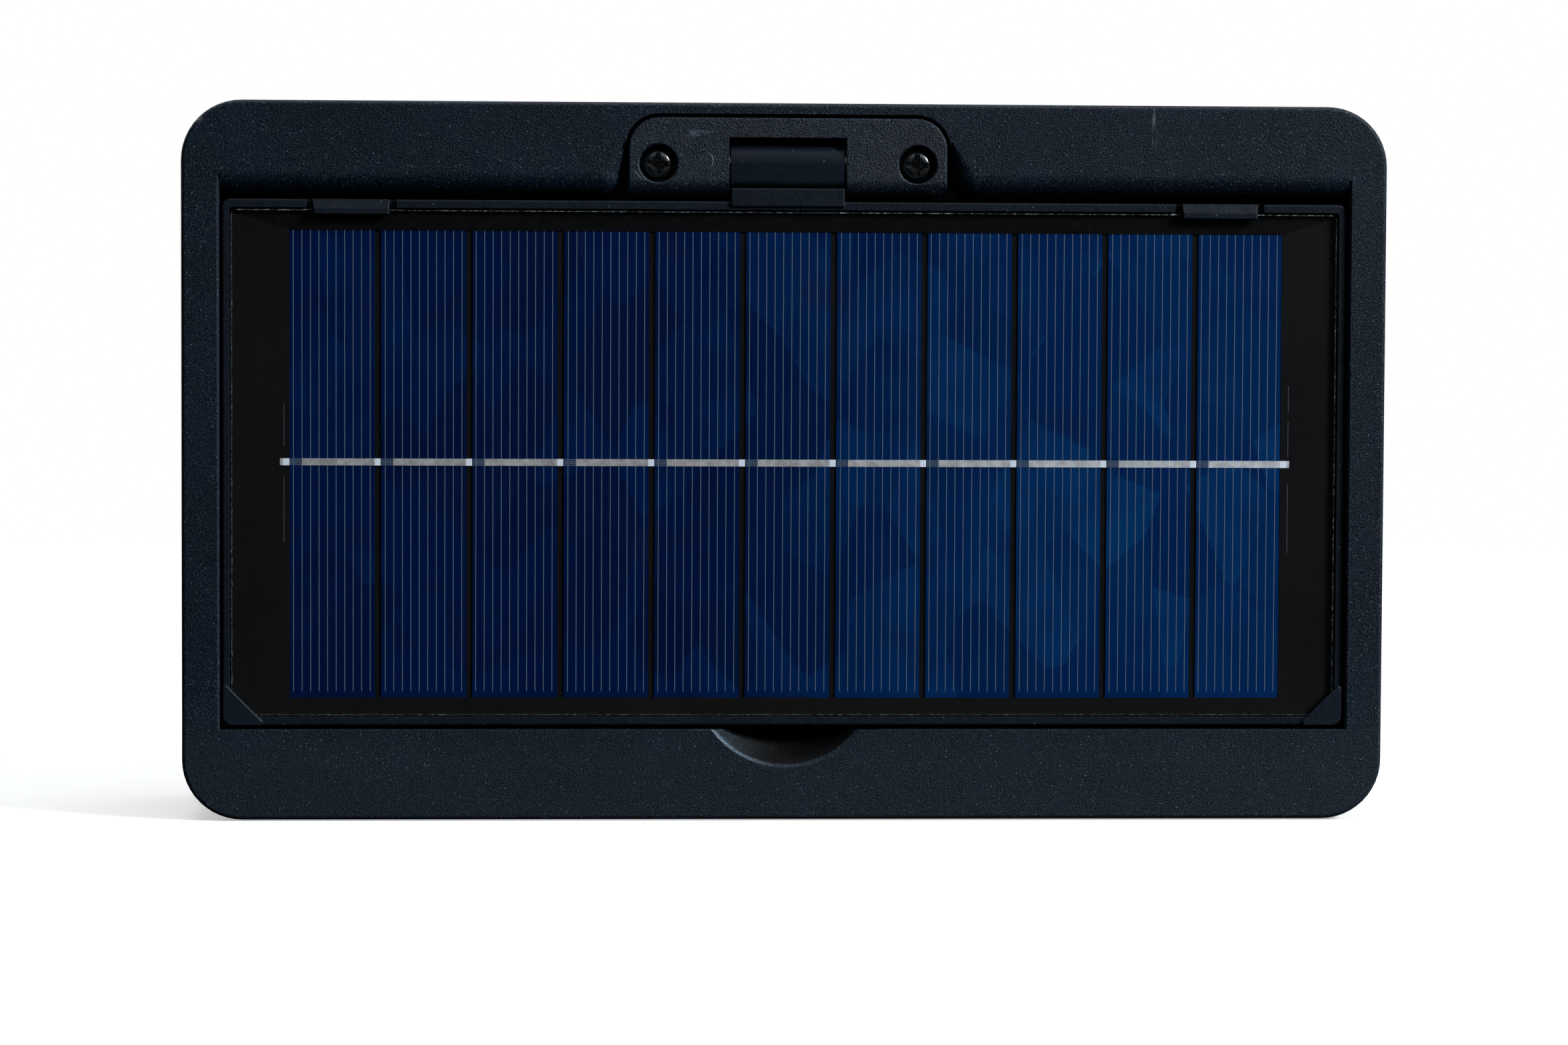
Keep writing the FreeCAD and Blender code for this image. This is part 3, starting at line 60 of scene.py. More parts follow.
# ---------------------------------------------------------------- material tools
class Surface:
    """One procedural material: a Principled shader and short ways to feed it. Lengths are in millimetres."""

    def __init__(self, name, **values):
        self.material = bpy.data.materials.new(name)
        self.material.use_nodes = True
        self.tree = self.material.node_tree
        self.tree.nodes.clear()
        self.output = self.add("ShaderNodeOutputMaterial")
        self.shader = self.add("ShaderNodeBsdfPrincipled")
        self.link(self.shader.outputs[0], self.output.inputs["Surface"])
        where = self.add("ShaderNodeTexCoord")
        scale = self.add("ShaderNodeVectorMath", operation="SCALE")
        scale.inputs["Scale"].default_value = 1 / MM
        self.link(where.outputs["Object"], scale.inputs[0])
        self.place = scale.outputs[0]
        self.axes = None
        for key, value in values.items():
            self.set(key, value)

    def add(self, kind, **settings):
        node = self.tree.nodes.new(kind)
        for key, value in settings.items():
            setattr(node, key, value)
        return node

    def link(self, source, target):
        self.tree.links.new(source, target)

    def feed(self, value, socket):
        if isinstance(value, bpy.types.NodeSocket):
            self.link(value, socket)
        elif isinstance(value, tuple) and len(value) == 3 and socket.type == "RGBA":
            socket.default_value = (*value, 1.0)
        else:
            socket.default_value = value

    def set(self, key, value):
        self.feed(value, self.shader.inputs[key.replace("_", " ")])

    def axis(self, letter):
        if self.axes is None:
            self.axes = self.add("ShaderNodeSeparateXYZ")
            self.link(self.place, self.axes.inputs[0])
        return self.axes.outputs["XYZ".index(letter)]

    def math(self, operation, a, b=0.0, clamp=False):
        node = self.add("ShaderNodeMath", operation=operation, use_clamp=clamp)
        self.feed(a, node.inputs[0])
        self.feed(b, node.inputs[1])
        return node.outputs[0]

    def ramp(self, value, low, high, to_low=0.0, to_high=1.0):
        """Straight-line change between two values of the input, level outside them."""
        node = self.add("ShaderNodeMapRange")
        for socket, number in zip(node.inputs, (value, low, high, to_low, to_high)):
            self.feed(number, socket)
        return node.outputs[0]

    def noise(self, size, detail=3.0, roughness=0.55, stretch=None, distortion=0.0):
        node = self.add("ShaderNodeTexNoise")
        self.feed(self.stretched(stretch), node.inputs["Vector"])
        node.inputs["Scale"].default_value = 1 / size
        node.inputs["Detail"].default_value = detail
        node.inputs["Roughness"].default_value = roughness
        node.inputs["Distortion"].default_value = distortion
        return node.outputs[0]

    def cells(self, size, feature="F1", output="Distance", stretch=None):
        node = self.add("ShaderNodeTexVoronoi", feature=feature)
        self.feed(self.stretched(stretch), node.inputs["Vector"])
        node.inputs["Scale"].default_value = 1 / size
        return node.outputs[output]

    def stretched(self, factors):
        if factors is None:
            return self.place
        node = self.add("ShaderNodeVectorMath", operation="MULTIPLY")
        self.link(self.place, node.inputs[0])
        node.inputs[1].default_value = factors
        return node.outputs[0]

    def mix(self, factor, a, b):
        node = self.add("ShaderNodeMix", data_type="RGBA")
        self.feed(factor, node.inputs[0])
        self.feed(a, node.inputs[6])
        self.feed(b, node.inputs[7])
        return node.outputs[2]

    def specks(self, spacing, radius, share):
        """Small round spots: one in each of some of the cells of a random grid."""
        node = self.add("ShaderNodeTexVoronoi")
        self.link(self.place, node.inputs["Vector"])
        node.inputs["Scale"].default_value = 1 / spacing
        spot = self.ramp(node.outputs["Distance"], radius / spacing, 0.5 * radius / spacing)
        pick = self.add("ShaderNodeSeparateColor")
        self.link(node.outputs["Color"], pick.inputs[0])
        return self.math("MULTIPLY", spot, self.math("LESS_THAN", pick.outputs[0], share))

    def band(self, letter, low, high, soft=0.05):
        """1 between two places along an axis, 0 outside."""
        up = self.ramp(self.axis(letter), low - soft, low + soft)
        down = self.ramp(self.axis(letter), high - soft, high + soft, 1.0, 0.0)
        return self.math("MULTIPLY", up, down)

    def spot(self, x, z, reach_x, reach_z):
        """1 at a place on the faces, falling to 0 at the edge of an oval about it."""
        across = self.math("DIVIDE", self.math("SUBTRACT", self.axis("X"), x), reach_x)
        up = self.math("DIVIDE", self.math("SUBTRACT", self.axis("Z"), z), reach_z)
        away = self.math("ADD", self.math("MULTIPLY", across, across), self.math("MULTIPLY", up, up))
        return self.ramp(self.math("SQRT", away), 0.15, 1.0, 1.0, 0.0)

    def curl(self, x, z, radius, width):
        """Thin ring about a place."""
        across = self.math("SUBTRACT", self.axis("X"), x)
        up = self.math("SUBTRACT", self.axis("Z"), z)
        away = self.math("ADD", self.math("MULTIPLY", across, across), self.math("MULTIPLY", up, up))
        off = self.math("ABSOLUTE", self.math("SUBTRACT", self.math("SQRT", away), radius))
        return self.ramp(off, width * 0.4, width, 1.0, 0.0)

    def both(self, *masks):
        result = masks[0]
        for mask in masks[1:]:
            result = self.math("MULTIPLY", result, mask)
        return result

    def gloss_share(self, straight, grazing):
        """Share of light that a clear part's outer face throws back, from straight on to edge on."""
        facing = self.add("ShaderNodeLayerWeight")
        facing.inputs["Blend"].default_value = 0.5
        rise = self.math("MULTIPLY", self.math("POWER", facing.outputs["Facing"], 5.0), grazing)
        outer = self.add("ShaderNodeNewGeometry").outputs["Backfacing"]
        share = self.math("ADD", rise, straight, clamp=True)
        return self.math("MULTIPLY", share, self.math("SUBTRACT", 1.0, outer))

    def polish(self, mask, roughness, grain_left):
        """Where the mask is 1, the gloss is even and only a share of the grain's height is left."""
        gloss = self.shader.inputs["Roughness"].links[0].from_socket
        level = self.add("ShaderNodeMix")
        for socket, value in zip((level.inputs[0], level.inputs[2], level.inputs[3]), (mask, gloss, roughness)):
            self.feed(value, socket)
        self.link(level.outputs[0], self.shader.inputs["Roughness"])
        strength = self.bump.inputs["Strength"]
        self.link(self.ramp(mask, 0.0, 1.0, strength.default_value, grain_left), strength)

    def colour(self):
        """What the base colour is fed by so far."""
        return self.shader.inputs["Base Color"].links[0].from_socket

    def tint(self, mask, amount, colour):
        """Lay a colour over the base colour where the mask is 1."""
        self.set("Base Color", self.mix(self.math("MULTIPLY", mask, amount), self.colour(), colour))

    def relief(self, height, depth, strength=1.0, round_edges=0.0):
        """Bump from a height texture; round_edges also softens sharp edges over that radius."""
        bump = self.bump = self.add("ShaderNodeBump")
        bump.inputs["Strength"].default_value = strength
        bump.inputs["Distance"].default_value = depth * MM
        self.link(height, bump.inputs["Height"])
        if round_edges:
            bevel = self.add("ShaderNodeBevel", samples=4)
            bevel.inputs["Radius"].default_value = round_edges * MM
            self.link(bevel.outputs[0], bump.inputs["Normal"])
        self.link(bump.outputs[0], self.shader.inputs["Normal"])


def moulded(name, base, roughness=0.34, grain=0.17, depth=0.105, sparkle=0.8, edges=0.15, gloss=0.12):
    """Spark-eroded black plastic: fine leathery grain, tiny glints painted into the base colour as painted
    highlights, and a little dust.
    """
    s = Surface(name, Specular_IOR_Level=gloss)
    patch = s.ramp(s.noise(14.0, 4.0), 0.35, 0.7)
    lighter = tuple(c * 1.25 for c in base)
    darker = tuple(c * 0.82 for c in base)
    colour = s.mix(patch, darker, lighter)
    # Painted highlights: the peaks of a fine noise and two sets of small specks stand in for the glints of the
    # grain.
    painted_peak_glints = s.math("MULTIPLY", s.ramp(s.noise(0.16, 2.0, 0.6), 0.565, 0.70), 0.5 * sparkle)
    fine = s.math("MULTIPLY", s.specks(0.5, 0.075, 0.5), 0.7 * sparkle)
    glints = s.math("MAXIMUM", s.math("MAXIMUM", s.specks(0.85, 0.105, 0.75 * sparkle), fine), painted_peak_glints)
    dust = s.specks(7.0, 0.12, 0.35)
    # The glints are painted into the base colour as pale blue highlights; the dust that follows is real.
    colour = s.mix(s.math("MULTIPLY", glints, 0.75), colour, (0.165, 0.225, 0.285))
    colour = s.mix(s.math("MULTIPLY", dust, 0.75), colour, (0.22, 0.27, 0.30))
    s.set("Base Color", colour)
    s.set("Roughness", s.ramp(s.noise(1.1, 4.0), 0.3, 0.75, roughness - 0.07, roughness + 0.09))
    leather = s.math("ADD", s.noise(grain, 3.0, 0.65), s.math("MULTIPLY", s.cells(grain * 1.6), 0.5))
    s.relief(leather, depth, 0.9, edges)
    return s


def speckled(name, base, roughness, metallic=0.0, grain=0.4, depth=0.01, vary=0.15, **values):
    """A finish with a slightly uneven colour, gloss and surface."""
    s = Surface(name, Metallic=metallic, **values)
    uneven = s.noise(grain * 12, 4.0)
    darker = tuple(c * (1 - vary) for c in base)
    lighter = tuple(min(1.0, c * (1 + vary)) for c in base)
    s.set("Base Color", s.mix(uneven, darker, lighter))
    s.set("Roughness", s.ramp(s.noise(grain * 4, 4.0), 0.3, 0.7, max(0.02, roughness * 0.8), roughness * 1.2))
    s.relief(s.noise(grain, 3.0), depth, 0.6)
    return s


def brushed(name, base, roughness=0.3, stretch=(0.05, 1.0, 1.0)):
    """Metal with fine lines along one axis."""
    s = Surface(name, Metallic=1.0)
    lines = s.noise(0.08, 4.0, 0.6, stretch)
    s.set("Base Color", s.mix(lines, tuple(c * 0.82 for c in base), base))
    s.set("Roughness", s.ramp(lines, 0.3, 0.7, roughness * 0.8, roughness * 1.25))
    s.relief(lines, 0.004, 0.5)
    return s


# ---------------------------------------------------------------- the materials
HOUSING = (0.0006, 0.0036, 0.0090)
FRAME_BLACK = (0.0024, 0.0052, 0.0092)


def housing_plastic():
    return moulded("housing_plastic", HOUSING)


def moulded_frame():
    """The panel frame's plastic, smoother on the barrel of its hinge."""
    look = dict(roughness=0.42, grain=0.24, depth=0.04, sparkle=0.12, edges=0.18, gloss=0.18)
    s = moulded("frame_plastic", FRAME_BLACK, **look)
    s.polish(s.band("Z", 105.0, 112.0, 0.03), 0.34, 0.25)
    return s


def scratched_housing():
    """The housing's plastic: painted shade in the finger scoop, a painted highlight on its left lip, painted
    glints in the left of its bowl, painted light towards the bottom, and worn in a few places.
    """
    s = moulded("housing_scuffed", HOUSING)
    scoop = s.both(s.band("X", -15.3, 15.3), s.band("Z", 6.0, 15.2), s.band("Y", -25.85, -18.8, 0.08))
    # Painted shade: the scoop's base colour is darkened almost to black, more strongly towards its right side.
    dull = s.math("MULTIPLY", scoop, s.ramp(s.axis("X"), -13.0, -2.0, 0.6, 0.95))
    # Painted light: the base colour is made paler towards the bottom, fading out by 22 mm up.
    painted_low_light = s.ramp(s.axis("Z"), 10.0, 22.0, 0.03, 0.0)
    colour = s.mix(painted_low_light, s.colour(), (0.17, 0.19, 0.21))
    s.set("Base Color", s.mix(dull, colour, (0.0002, 0.0003, 0.0004)))
    # Painted highlight: pale blue flecks on the left half of the scoop's chamfer, where the light catches it.
    grains = s.ramp(s.noise(0.3, 3.0, 0.7), 0.42, 0.62, 0.15, 1.0)
    left = s.ramp(s.axis("X"), -12.0, -2.0, 1.0, 0.0)
    chamfer = s.both(s.band("X", -16.2, 0.0), s.band("Z", 6.0, 15.2), s.band("Y", -26.21, -25.86, 0.03))
    lip = s.both(chamfer, left, grains)
    # Painted glints: bluish flecks tinted into the left side of the scoop's bowl.
    painted_bowl_glints = s.ramp(s.noise(0.2, 2.0, 0.6), 0.54, 0.66)
    bowl = s.both(scoop, s.ramp(s.axis("X"), -13.5, -5.0, 1.0, 0.0), painted_bowl_glints)
    s.tint(lip, 0.55, (0.20, 0.29, 0.38))
    s.tint(bowl, 0.6, (0.07, 0.17, 0.24))
    streak = s.ramp(s.noise(0.45, 4.0, 0.6, (1.0, 1.0, 0.12)), 0.45, 0.6)
    near_top = s.both(s.band("X", 60.4, 61.2, 0.35), s.band("Z", 112.6, 118.0, 1.2))
    scuff = s.both(near_top, s.band("Y", -30.0, -25.0), streak)
    corner = s.both(s.band("X", -98.0, -96.6, 0.4), s.band("Z", 115.4, 117.0, 0.4))
    nick = s.both(corner, s.ramp(s.noise(0.5), 0.45, 0.6))
    s.tint(scuff, 0.5, (0.16, 0.18, 0.20))
    s.tint(nick, 0.45, (0.2, 0.22, 0.24))
    return s


def pressed_cover():
    """The hinge cover's plastic, with the shallow marks left of its notch."""
    s = moulded("cover_plastic", HOUSING, gloss=0.22)
    uneven = s.ramp(s.noise(0.7, 3.0), 0.35, 0.6, 0.3, 1.0)
    bruise = s.math("MAXIMUM", s.spot(-15.6, 113.9, 1.3, 0.8), s.both(s.spot(-14.0, 114.2, 2.6, 0.35), uneven))
    window = s.both(s.band("X", -13.4, -12.0, 0.3), s.band("Z", 108.5, 110.6, 0.3))
    fold = s.both(s.curl(-13.9, 109.4, 1.5, 0.16), window)
    window = s.both(s.band("X", -25.6, -24.0, 0.3), s.band("Z", 106.4, 107.9, 0.3))
    nail = s.both(s.curl(-26.6, 105.6, 2.3, 0.1), window)
    s.tint(bruise, 0.30, (0.10, 0.15, 0.20))
    s.tint(s.math("MULTIPLY", s.math("MAXIMUM", fold, nail), uneven), 0.6, (0.20, 0.25, 0.30))
    return s


def button_plastic():
    return moulded("button_plastic", (0.02, 0.024, 0.03), roughness=0.4, grain=0.2, depth=0.01)


def rubber(name="gasket_rubber"):
    s = speckled(name, (0.016, 0.016, 0.017), 0.75, grain=0.15, depth=0.02)
    s.set("Sheen Weight", 0.15)
    return s


def backboard_black():
    """Black film under the clear sheet."""
    s = Surface("backboard_black", Specular_IOR_Level=0.07)
    film = s.mix(s.ramp(s.noise(26.0, 3.0), 0.35, 0.7), (0.0040, 0.0038, 0.0037), (0.0058, 0.0054, 0.0052))
    s.set("Base Color", s.mix(s.specks(6.0, 0.09, 0.3), film, (0.06, 0.065, 0.07)))
    s.set("Roughness", s.ramp(s.noise(2.0, 4.0), 0.3, 0.7, 0.42, 0.55))
    s.relief(s.noise(0.35, 3.0), 0.004, 0.5)
    return s


def silicon():
    """Polycrystalline silicon: blue grains of slightly different shade, each strip its own tone, with painted
    light making the cells lighter towards the right.
    """
    s = Surface("silicon", Specular_IOR_Level=0.015)
    # Painted light: the blue is made lighter towards the right.
    across = s.ramp(s.axis("X"), -15.0, 50.0)
    deep = s.mix(across, (0.0001, 0.0052, 0.0320), (0.0003, 0.0140, 0.0640))
    light = s.mix(across, (0.0002, 0.0086, 0.0470), (0.0010, 0.0270, 0.0960))
    warp = s.noise(9.0, 3.0, 0.5)
    big = s.cells(11.0, output="Color", stretch=(1.0, 1.0, 0.8))
    split = s.add("ShaderNodeSeparateColor")
    s.link(big, split.inputs[0])
    shade = s.math("MULTIPLY", split.outputs[0], warp)
    colour = s.mix(s.ramp(shade, 0.10, 0.52), deep, light)
    purple = s.both(s.ramp(s.noise(13.0, 2.0), 0.60, 0.74), s.ramp(split.outputs[1], 0.4, 0.9))
    colour = s.mix(s.math("MULTIPLY", purple, 0.45), colour, (0.0060, 0.0065, 0.0300))
    colour = s.mix(s.specks(3.2, 0.07, 0.35), colour, (0.10, 0.14, 0.20))
    s.set("Base Color", colour)
    s.set("Roughness", s.ramp(split.outputs[2], 0.0, 1.0, 0.32, 0.5))
    s.relief(s.noise(0.2, 2.0), 0.004, 0.5)
    return s


def silver_paste():
    """Printed silver lines."""
    s = Surface("silver_paste", Metallic=0.2)
    s.set("Base Color", s.mix(s.noise(0.8, 3.0), (0.062, 0.092, 0.140), (0.105, 0.140, 0.195)))
    s.set("Roughness", s.ramp(s.noise(0.3), 0.3, 0.7, 0.5, 0.65))
    s.relief(s.noise(0.08, 2.0), 0.004, 0.5)
    return s


def tinned_ribbon():
    """Grey solder on the cells, with a painted highlight where the ribbon steps down over each gap and painted
    light that makes it lighter towards the right.
    """
    s = Surface("tinned_ribbon", Metallic=0.25)
    along = s.math("DIVIDE", s.math("ADD", s.axis("X"), 1000 * CELL_PITCH - FIRST_CELL), CELL_PITCH)
    phase = s.math("MULTIPLY", s.math("FRACT", along), CELL_PITCH)
    # Painted highlight: the step over each gap is coloured near white.
    bright = s.ramp(phase, CELL_WIDTH - 0.15, CELL_WIDTH + 0.05)
    # Painted light: the grey is made lighter towards the right.
    across = s.ramp(s.axis("X"), -20.0, 75.0)
    low = s.mix(across, (0.24, 0.230, 0.215), (0.38, 0.385, 0.390))
    high = s.mix(across, (0.42, 0.405, 0.385), (0.62, 0.625, 0.635))
    grey = s.mix(s.ramp(s.noise(1.3, 4.0), 0.35, 0.7), low, high)
    white = s.mix(s.noise(0.5, 3.0), (0.62, 0.66, 0.72), (0.80, 0.84, 0.88))
    s.set("Base Color", s.mix(bright, grey, white))
    s.set("Roughness", s.ramp(s.noise(0.4, 4.0), 0.3, 0.7, 0.42, 0.6))
    s.relief(s.noise(0.35, 3.0), 0.01, 0.6)
    return s


def clear_sheet():
    """Clear coat over the cells: seen through, with a soft reflection and a rough pale cut edge."""
    s = Surface("clear_sheet", Specular_IOR_Level=0.5, IOR=1.5)
    x = s.math("ABSOLUTE", s.axis("X"))
    side = s.ramp(x, 91.66, 91.72)
    low = s.ramp(s.axis("Z"), 17.48, 17.54, 1.0, 0.0)
    high = s.ramp(s.axis("Z"), 100.86, 100.92)
    rim = s.math("MAXIMUM", side, s.math("MULTIPLY", s.math("MAXIMUM", low, high), 0.6))
    # the edge of the sheet is chipped along its length
    chips = s.ramp(s.noise(0.45, 4.0, 0.75), 0.48, 0.62, 0.10, 0.95)
    edge = s.math("MULTIPLY", rim, chips)
    s.set("Base Color", s.mix(s.ramp(s.noise(0.8, 3.0), 0.4, 0.66), (0.12, 0.135, 0.15), (0.80, 0.86, 0.90)))
    s.set("Roughness", 0.5)
    clear = s.add("ShaderNodeBsdfTransparent")
    clear.inputs["Color"].default_value = (0.97, 0.98, 1.0, 1.0)
    gloss = s.add("ShaderNodeBsdfGlossy")
    gloss.inputs["Roughness"].default_value = 0.2
    gloss.inputs["Color"].default_value = (0.55, 0.78, 1.0, 1.0)
    wave = s.add("ShaderNodeBump")
    wave.inputs["Strength"].default_value = 0.35
    wave.inputs["Distance"].default_value = 0.02 * MM
    s.link(s.noise(2.4, 2.0), wave.inputs["Height"])
    s.link(wave.outputs[0], gloss.inputs["Normal"])
    coat = s.add("ShaderNodeMixShader")
    s.link(s.gloss_share(0.011, 0.45), coat.inputs[0])
    s.link(clear.outputs[0], coat.inputs[1])
    s.link(gloss.outputs[0], coat.inputs[2])
    whole = s.add("ShaderNodeMixShader")
    s.link(edge, whole.inputs[0])
    s.link(coat.outputs[0], whole.inputs[1])
    s.link(s.shader.outputs[0], whole.inputs[2])
    s.link(whole.outputs[0], s.output.inputs["Surface"])
    return s


def clear_plastic(name, tint, roughness=0.05, through=0.85):
    """Clear moulding: mostly see-through, with a gloss that follows the angle."""
    s = Surface(name)
    clear = s.add("ShaderNodeBsdfTransparent")
    clear.inputs["Color"].default_value = (*tint, 1.0)
    s.set("Base Color", s.mix(s.noise(3.0, 3.0), tuple(c * 0.5 for c in tint), tuple(c * 0.7 for c in tint)))
    s.set("Roughness", s.ramp(s.noise(2.0, 3.0), 0.3, 0.7, roughness, roughness * 2))
    s.relief(s.noise(1.5, 2.0), 0.006, 0.4)
    whole = s.add("ShaderNodeMixShader")
    s.link(s.gloss_share(1.0 - through, 0.8), whole.inputs[0])
    s.link(clear.outputs[0], whole.inputs[1])
    s.link(s.shader.outputs[0], whole.inputs[2])
    s.link(whole.outputs[0], s.output.inputs["Surface"])
    return s


def lens_coating(name="lens_glass"):
    """Coated lens: dark, with violet and green reflections."""
    s = clear_plastic(name, (0.62, 0.60, 0.70), 0.02, 0.72)
    radius = s.ramp(s.noise(6.0, 1.0), 0.35, 0.65)
    s.set("Base Color", s.mix(radius, (0.020, 0.012, 0.050), (0.012, 0.035, 0.040)))
    s.set("Coat Weight", 1.0)
    s.set("Coat Roughness", 0.02)
    s.set("Coat Tint", (0.75, 0.65, 1.0, 1.0))
    return s


def window_black():
    s = Surface("window_black", Specular_IOR_Level=0.6, Coat_Weight=0.8, Coat_Roughness=0.03)
    s.set("Base Color", s.mix(s.noise(20.0, 2.0), (0.003, 0.003, 0.004), (0.007, 0.007, 0.008)))
    s.set("Roughness", s.ramp(s.noise(5.0, 4.0), 0.3, 0.7, 0.06, 0.12))
    s.relief(s.noise(6.0, 2.0), 0.004, 0.3)
    return s


def milky_dome():
    s = Surface("dome_milky", Specular_IOR_Level=0.45, Subsurface_Weight=0.35, Subsurface_Scale=0.0015)
    s.set("Base Color", s.mix(s.noise(4.0, 3.0), (0.68, 0.68, 0.65), (0.78, 0.78, 0.76)))
    s.set("Roughness", s.ramp(s.noise(1.0, 3.0), 0.3, 0.7, 0.28, 0.4))
    s.relief(s.noise(0.3, 2.0), 0.004, 0.4)
    return s


def screw_black():
    metal = (0.085, 0.09, 0.095)
    s = speckled("screw_black", metal, 0.27, metallic=0.95, grain=0.25, depth=0.01, Coat_Weight=1.0)
    s.set("Coat Roughness", 0.07)
    return s


def steel():
    return brushed("steel", (0.56, 0.56, 0.55), 0.28)


def brass():
    return brushed("brass", (0.62, 0.45, 0.2), 0.3, (1.0, 1.0, 0.05))


def reflector_chrome():
    s = Surface("reflector_chrome", Metallic=1.0)
    s.set("Base Color", s.mix(s.noise(5.0, 3.0), (0.78, 0.79, 0.80), (0.90, 0.90, 0.90)))
    s.set("Roughness", s.ramp(s.noise(1.5, 3.0), 0.3, 0.7, 0.05, 0.12))
    s.relief(s.noise(1.2, 2.0), 0.01, 0.4)
    return s


def led_yellow():
    """Phosphor square with a pale package round it."""
    s = Surface("led_yellow", Coat_Weight=0.4)
    s.set("Base Color", s.mix(s.noise(0.6, 3.0), (0.72, 0.52, 0.06), (0.88, 0.72, 0.16)))
    s.set("Roughness", s.ramp(s.noise(0.5, 3.0), 0.3, 0.7, 0.3, 0.45))
    s.relief(s.noise(0.3, 2.0), 0.01, 0.5)
    return s


def board_green():
    """Solder mask with copper tracks showing through."""
    s = Surface("board_green", Specular_IOR_Level=0.5, Coat_Weight=0.3)
    tracks = s.ramp(s.cells(2.2, "DISTANCE_TO_EDGE"), 0.05, 0.09, 1.0, 0.0)
    s.set("Base Color", s.mix(tracks, (0.006, 0.060, 0.022), (0.016, 0.120, 0.040)))
    s.set("Roughness", s.ramp(s.noise(1.0, 3.0), 0.3, 0.7, 0.25, 0.4))
    s.relief(tracks, 0.03, 0.6)
    return s


def bezel_black():
    return speckled("bezel_black", (0.012, 0.012, 0.013), 0.25, grain=0.6, depth=0.006, Coat_Weight=0.3)


def sensor_dark():
    return speckled("sensor_dark", (0.02, 0.03, 0.05), 0.12, grain=0.3, depth=0.003, Coat_Weight=1.0)


MAKERS = {
    "housing_plastic": housing_plastic,
    "frame_plastic": moulded_frame,
    "button_plastic": button_plastic,
    "gasket_rubber": rubber,
    "screw_black": screw_black,
    "steel": steel,
    "brass": brass,
    "spring_steel": lambda: brushed("spring_steel", (0.45, 0.45, 0.46), 0.3, (1.0, 1.0, 0.1)),
    "clear_sheet": clear_sheet,
    "backboard_black": backboard_black,
    "silicon": silicon,
    "tinned_ribbon": tinned_ribbon,
    "lead_insulation": lambda: rubber("lead_insulation"),
    "wire_insulation": lambda: speckled("wire_insulation", (0.42, 0.02, 0.018), 0.45),
    "clear_cover": lambda: clear_plastic("clear_cover", (0.93, 0.95, 0.97), 0.05, 0.82),
    "reflector_chrome": reflector_chrome,
    "led_yellow": led_yellow,
    "board_green": board_green,
    "window_black": window_black,
    "bezel_black": bezel_black,
    "lens_glass": lens_coating,
    "lens_black": lambda: speckled("lens_black", (0.008, 0.008, 0.009), 0.6, grain=0.2, depth=0.01),
    "sensor_dark": sensor_dark,
    "ir_lens": lambda: clear_plastic("ir_lens", (0.55, 0.50, 0.58), 0.04, 0.45),
    "light_pipe": lambda: clear_plastic("light_pipe", (0.85, 0.87, 0.88), 0.3, 0.2),
    "dome_milky": milky_dome,
    "can_metal": lambda: brushed("can_metal", (0.60, 0.60, 0.58), 0.32),
    "component_black": lambda: speckled("component_black", (0.015, 0.015, 0.017), 0.5),
    "flex_amber": lambda: speckled("flex_amber", (0.33, 0.13, 0.03), 0.35, grain=0.6, Coat_Weight=0.3),
    "cell_wrap": lambda: speckled("cell_wrap", (0.012, 0.075, 0.24), 0.3, grain=0.8, depth=0.03),
    "cradle_plastic": lambda: speckled("cradle_plastic", (0.03, 0.03, 0.032), 0.5),
    "nickel": lambda: brushed("nickel", (0.62, 0.60, 0.55), 0.25, (1.0, 0.05, 1.0)),
    "card_black": lambda: speckled("card_black", (0.015, 0.015, 0.017), 0.4),
}
OWN_FINISH = {"rear_shell": scratched_housing, "hinge_cover": pressed_cover}


def dress(piece, material):
    """Give a piece one material."""
    piece.data.materials.clear()
    piece.data.materials.append(material)


def dress_frame():
    made = {}
    for part in frame["record"]["subparts"]:
        node, slot = part["node"], part["material_slot"]
        maker = OWN_FINISH.get(node, MAKERS[slot])
        if maker not in made:
            made[maker] = maker().material
        dress(NODES[node], made[maker])


# ---------------------------------------------------------------- mesh tools
def add_box(mesh, low, high):
    """Box between two corners."""
    corners = [(x, y, z) for x in (low[0], high[0]) for y in (low[1], high[1]) for z in (low[2], high[2])]
    verts = [mesh.verts.new(c) for c in corners]
    for face in ((0, 1, 3, 2), (4, 6, 7, 5), (0, 4, 5, 1), (2, 3, 7, 6), (0, 2, 6, 4), (1, 5, 7, 3)):
        mesh.faces.new([verts[i] for i in face])


def piece_from(name, mesh, body, material):
    """New piece from a bmesh, riding on a body."""
    bmesh.ops.recalc_face_normals(mesh, faces=mesh.faces)
    data = bpy.data.meshes.new(name)
    mesh.to_mesh(data)
    mesh.free()
    piece = bpy.data.objects.new(name, data)
    bpy.context.scene.collection.objects.link(piece)
    dress(piece, material)
    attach(piece, body)
    return piece


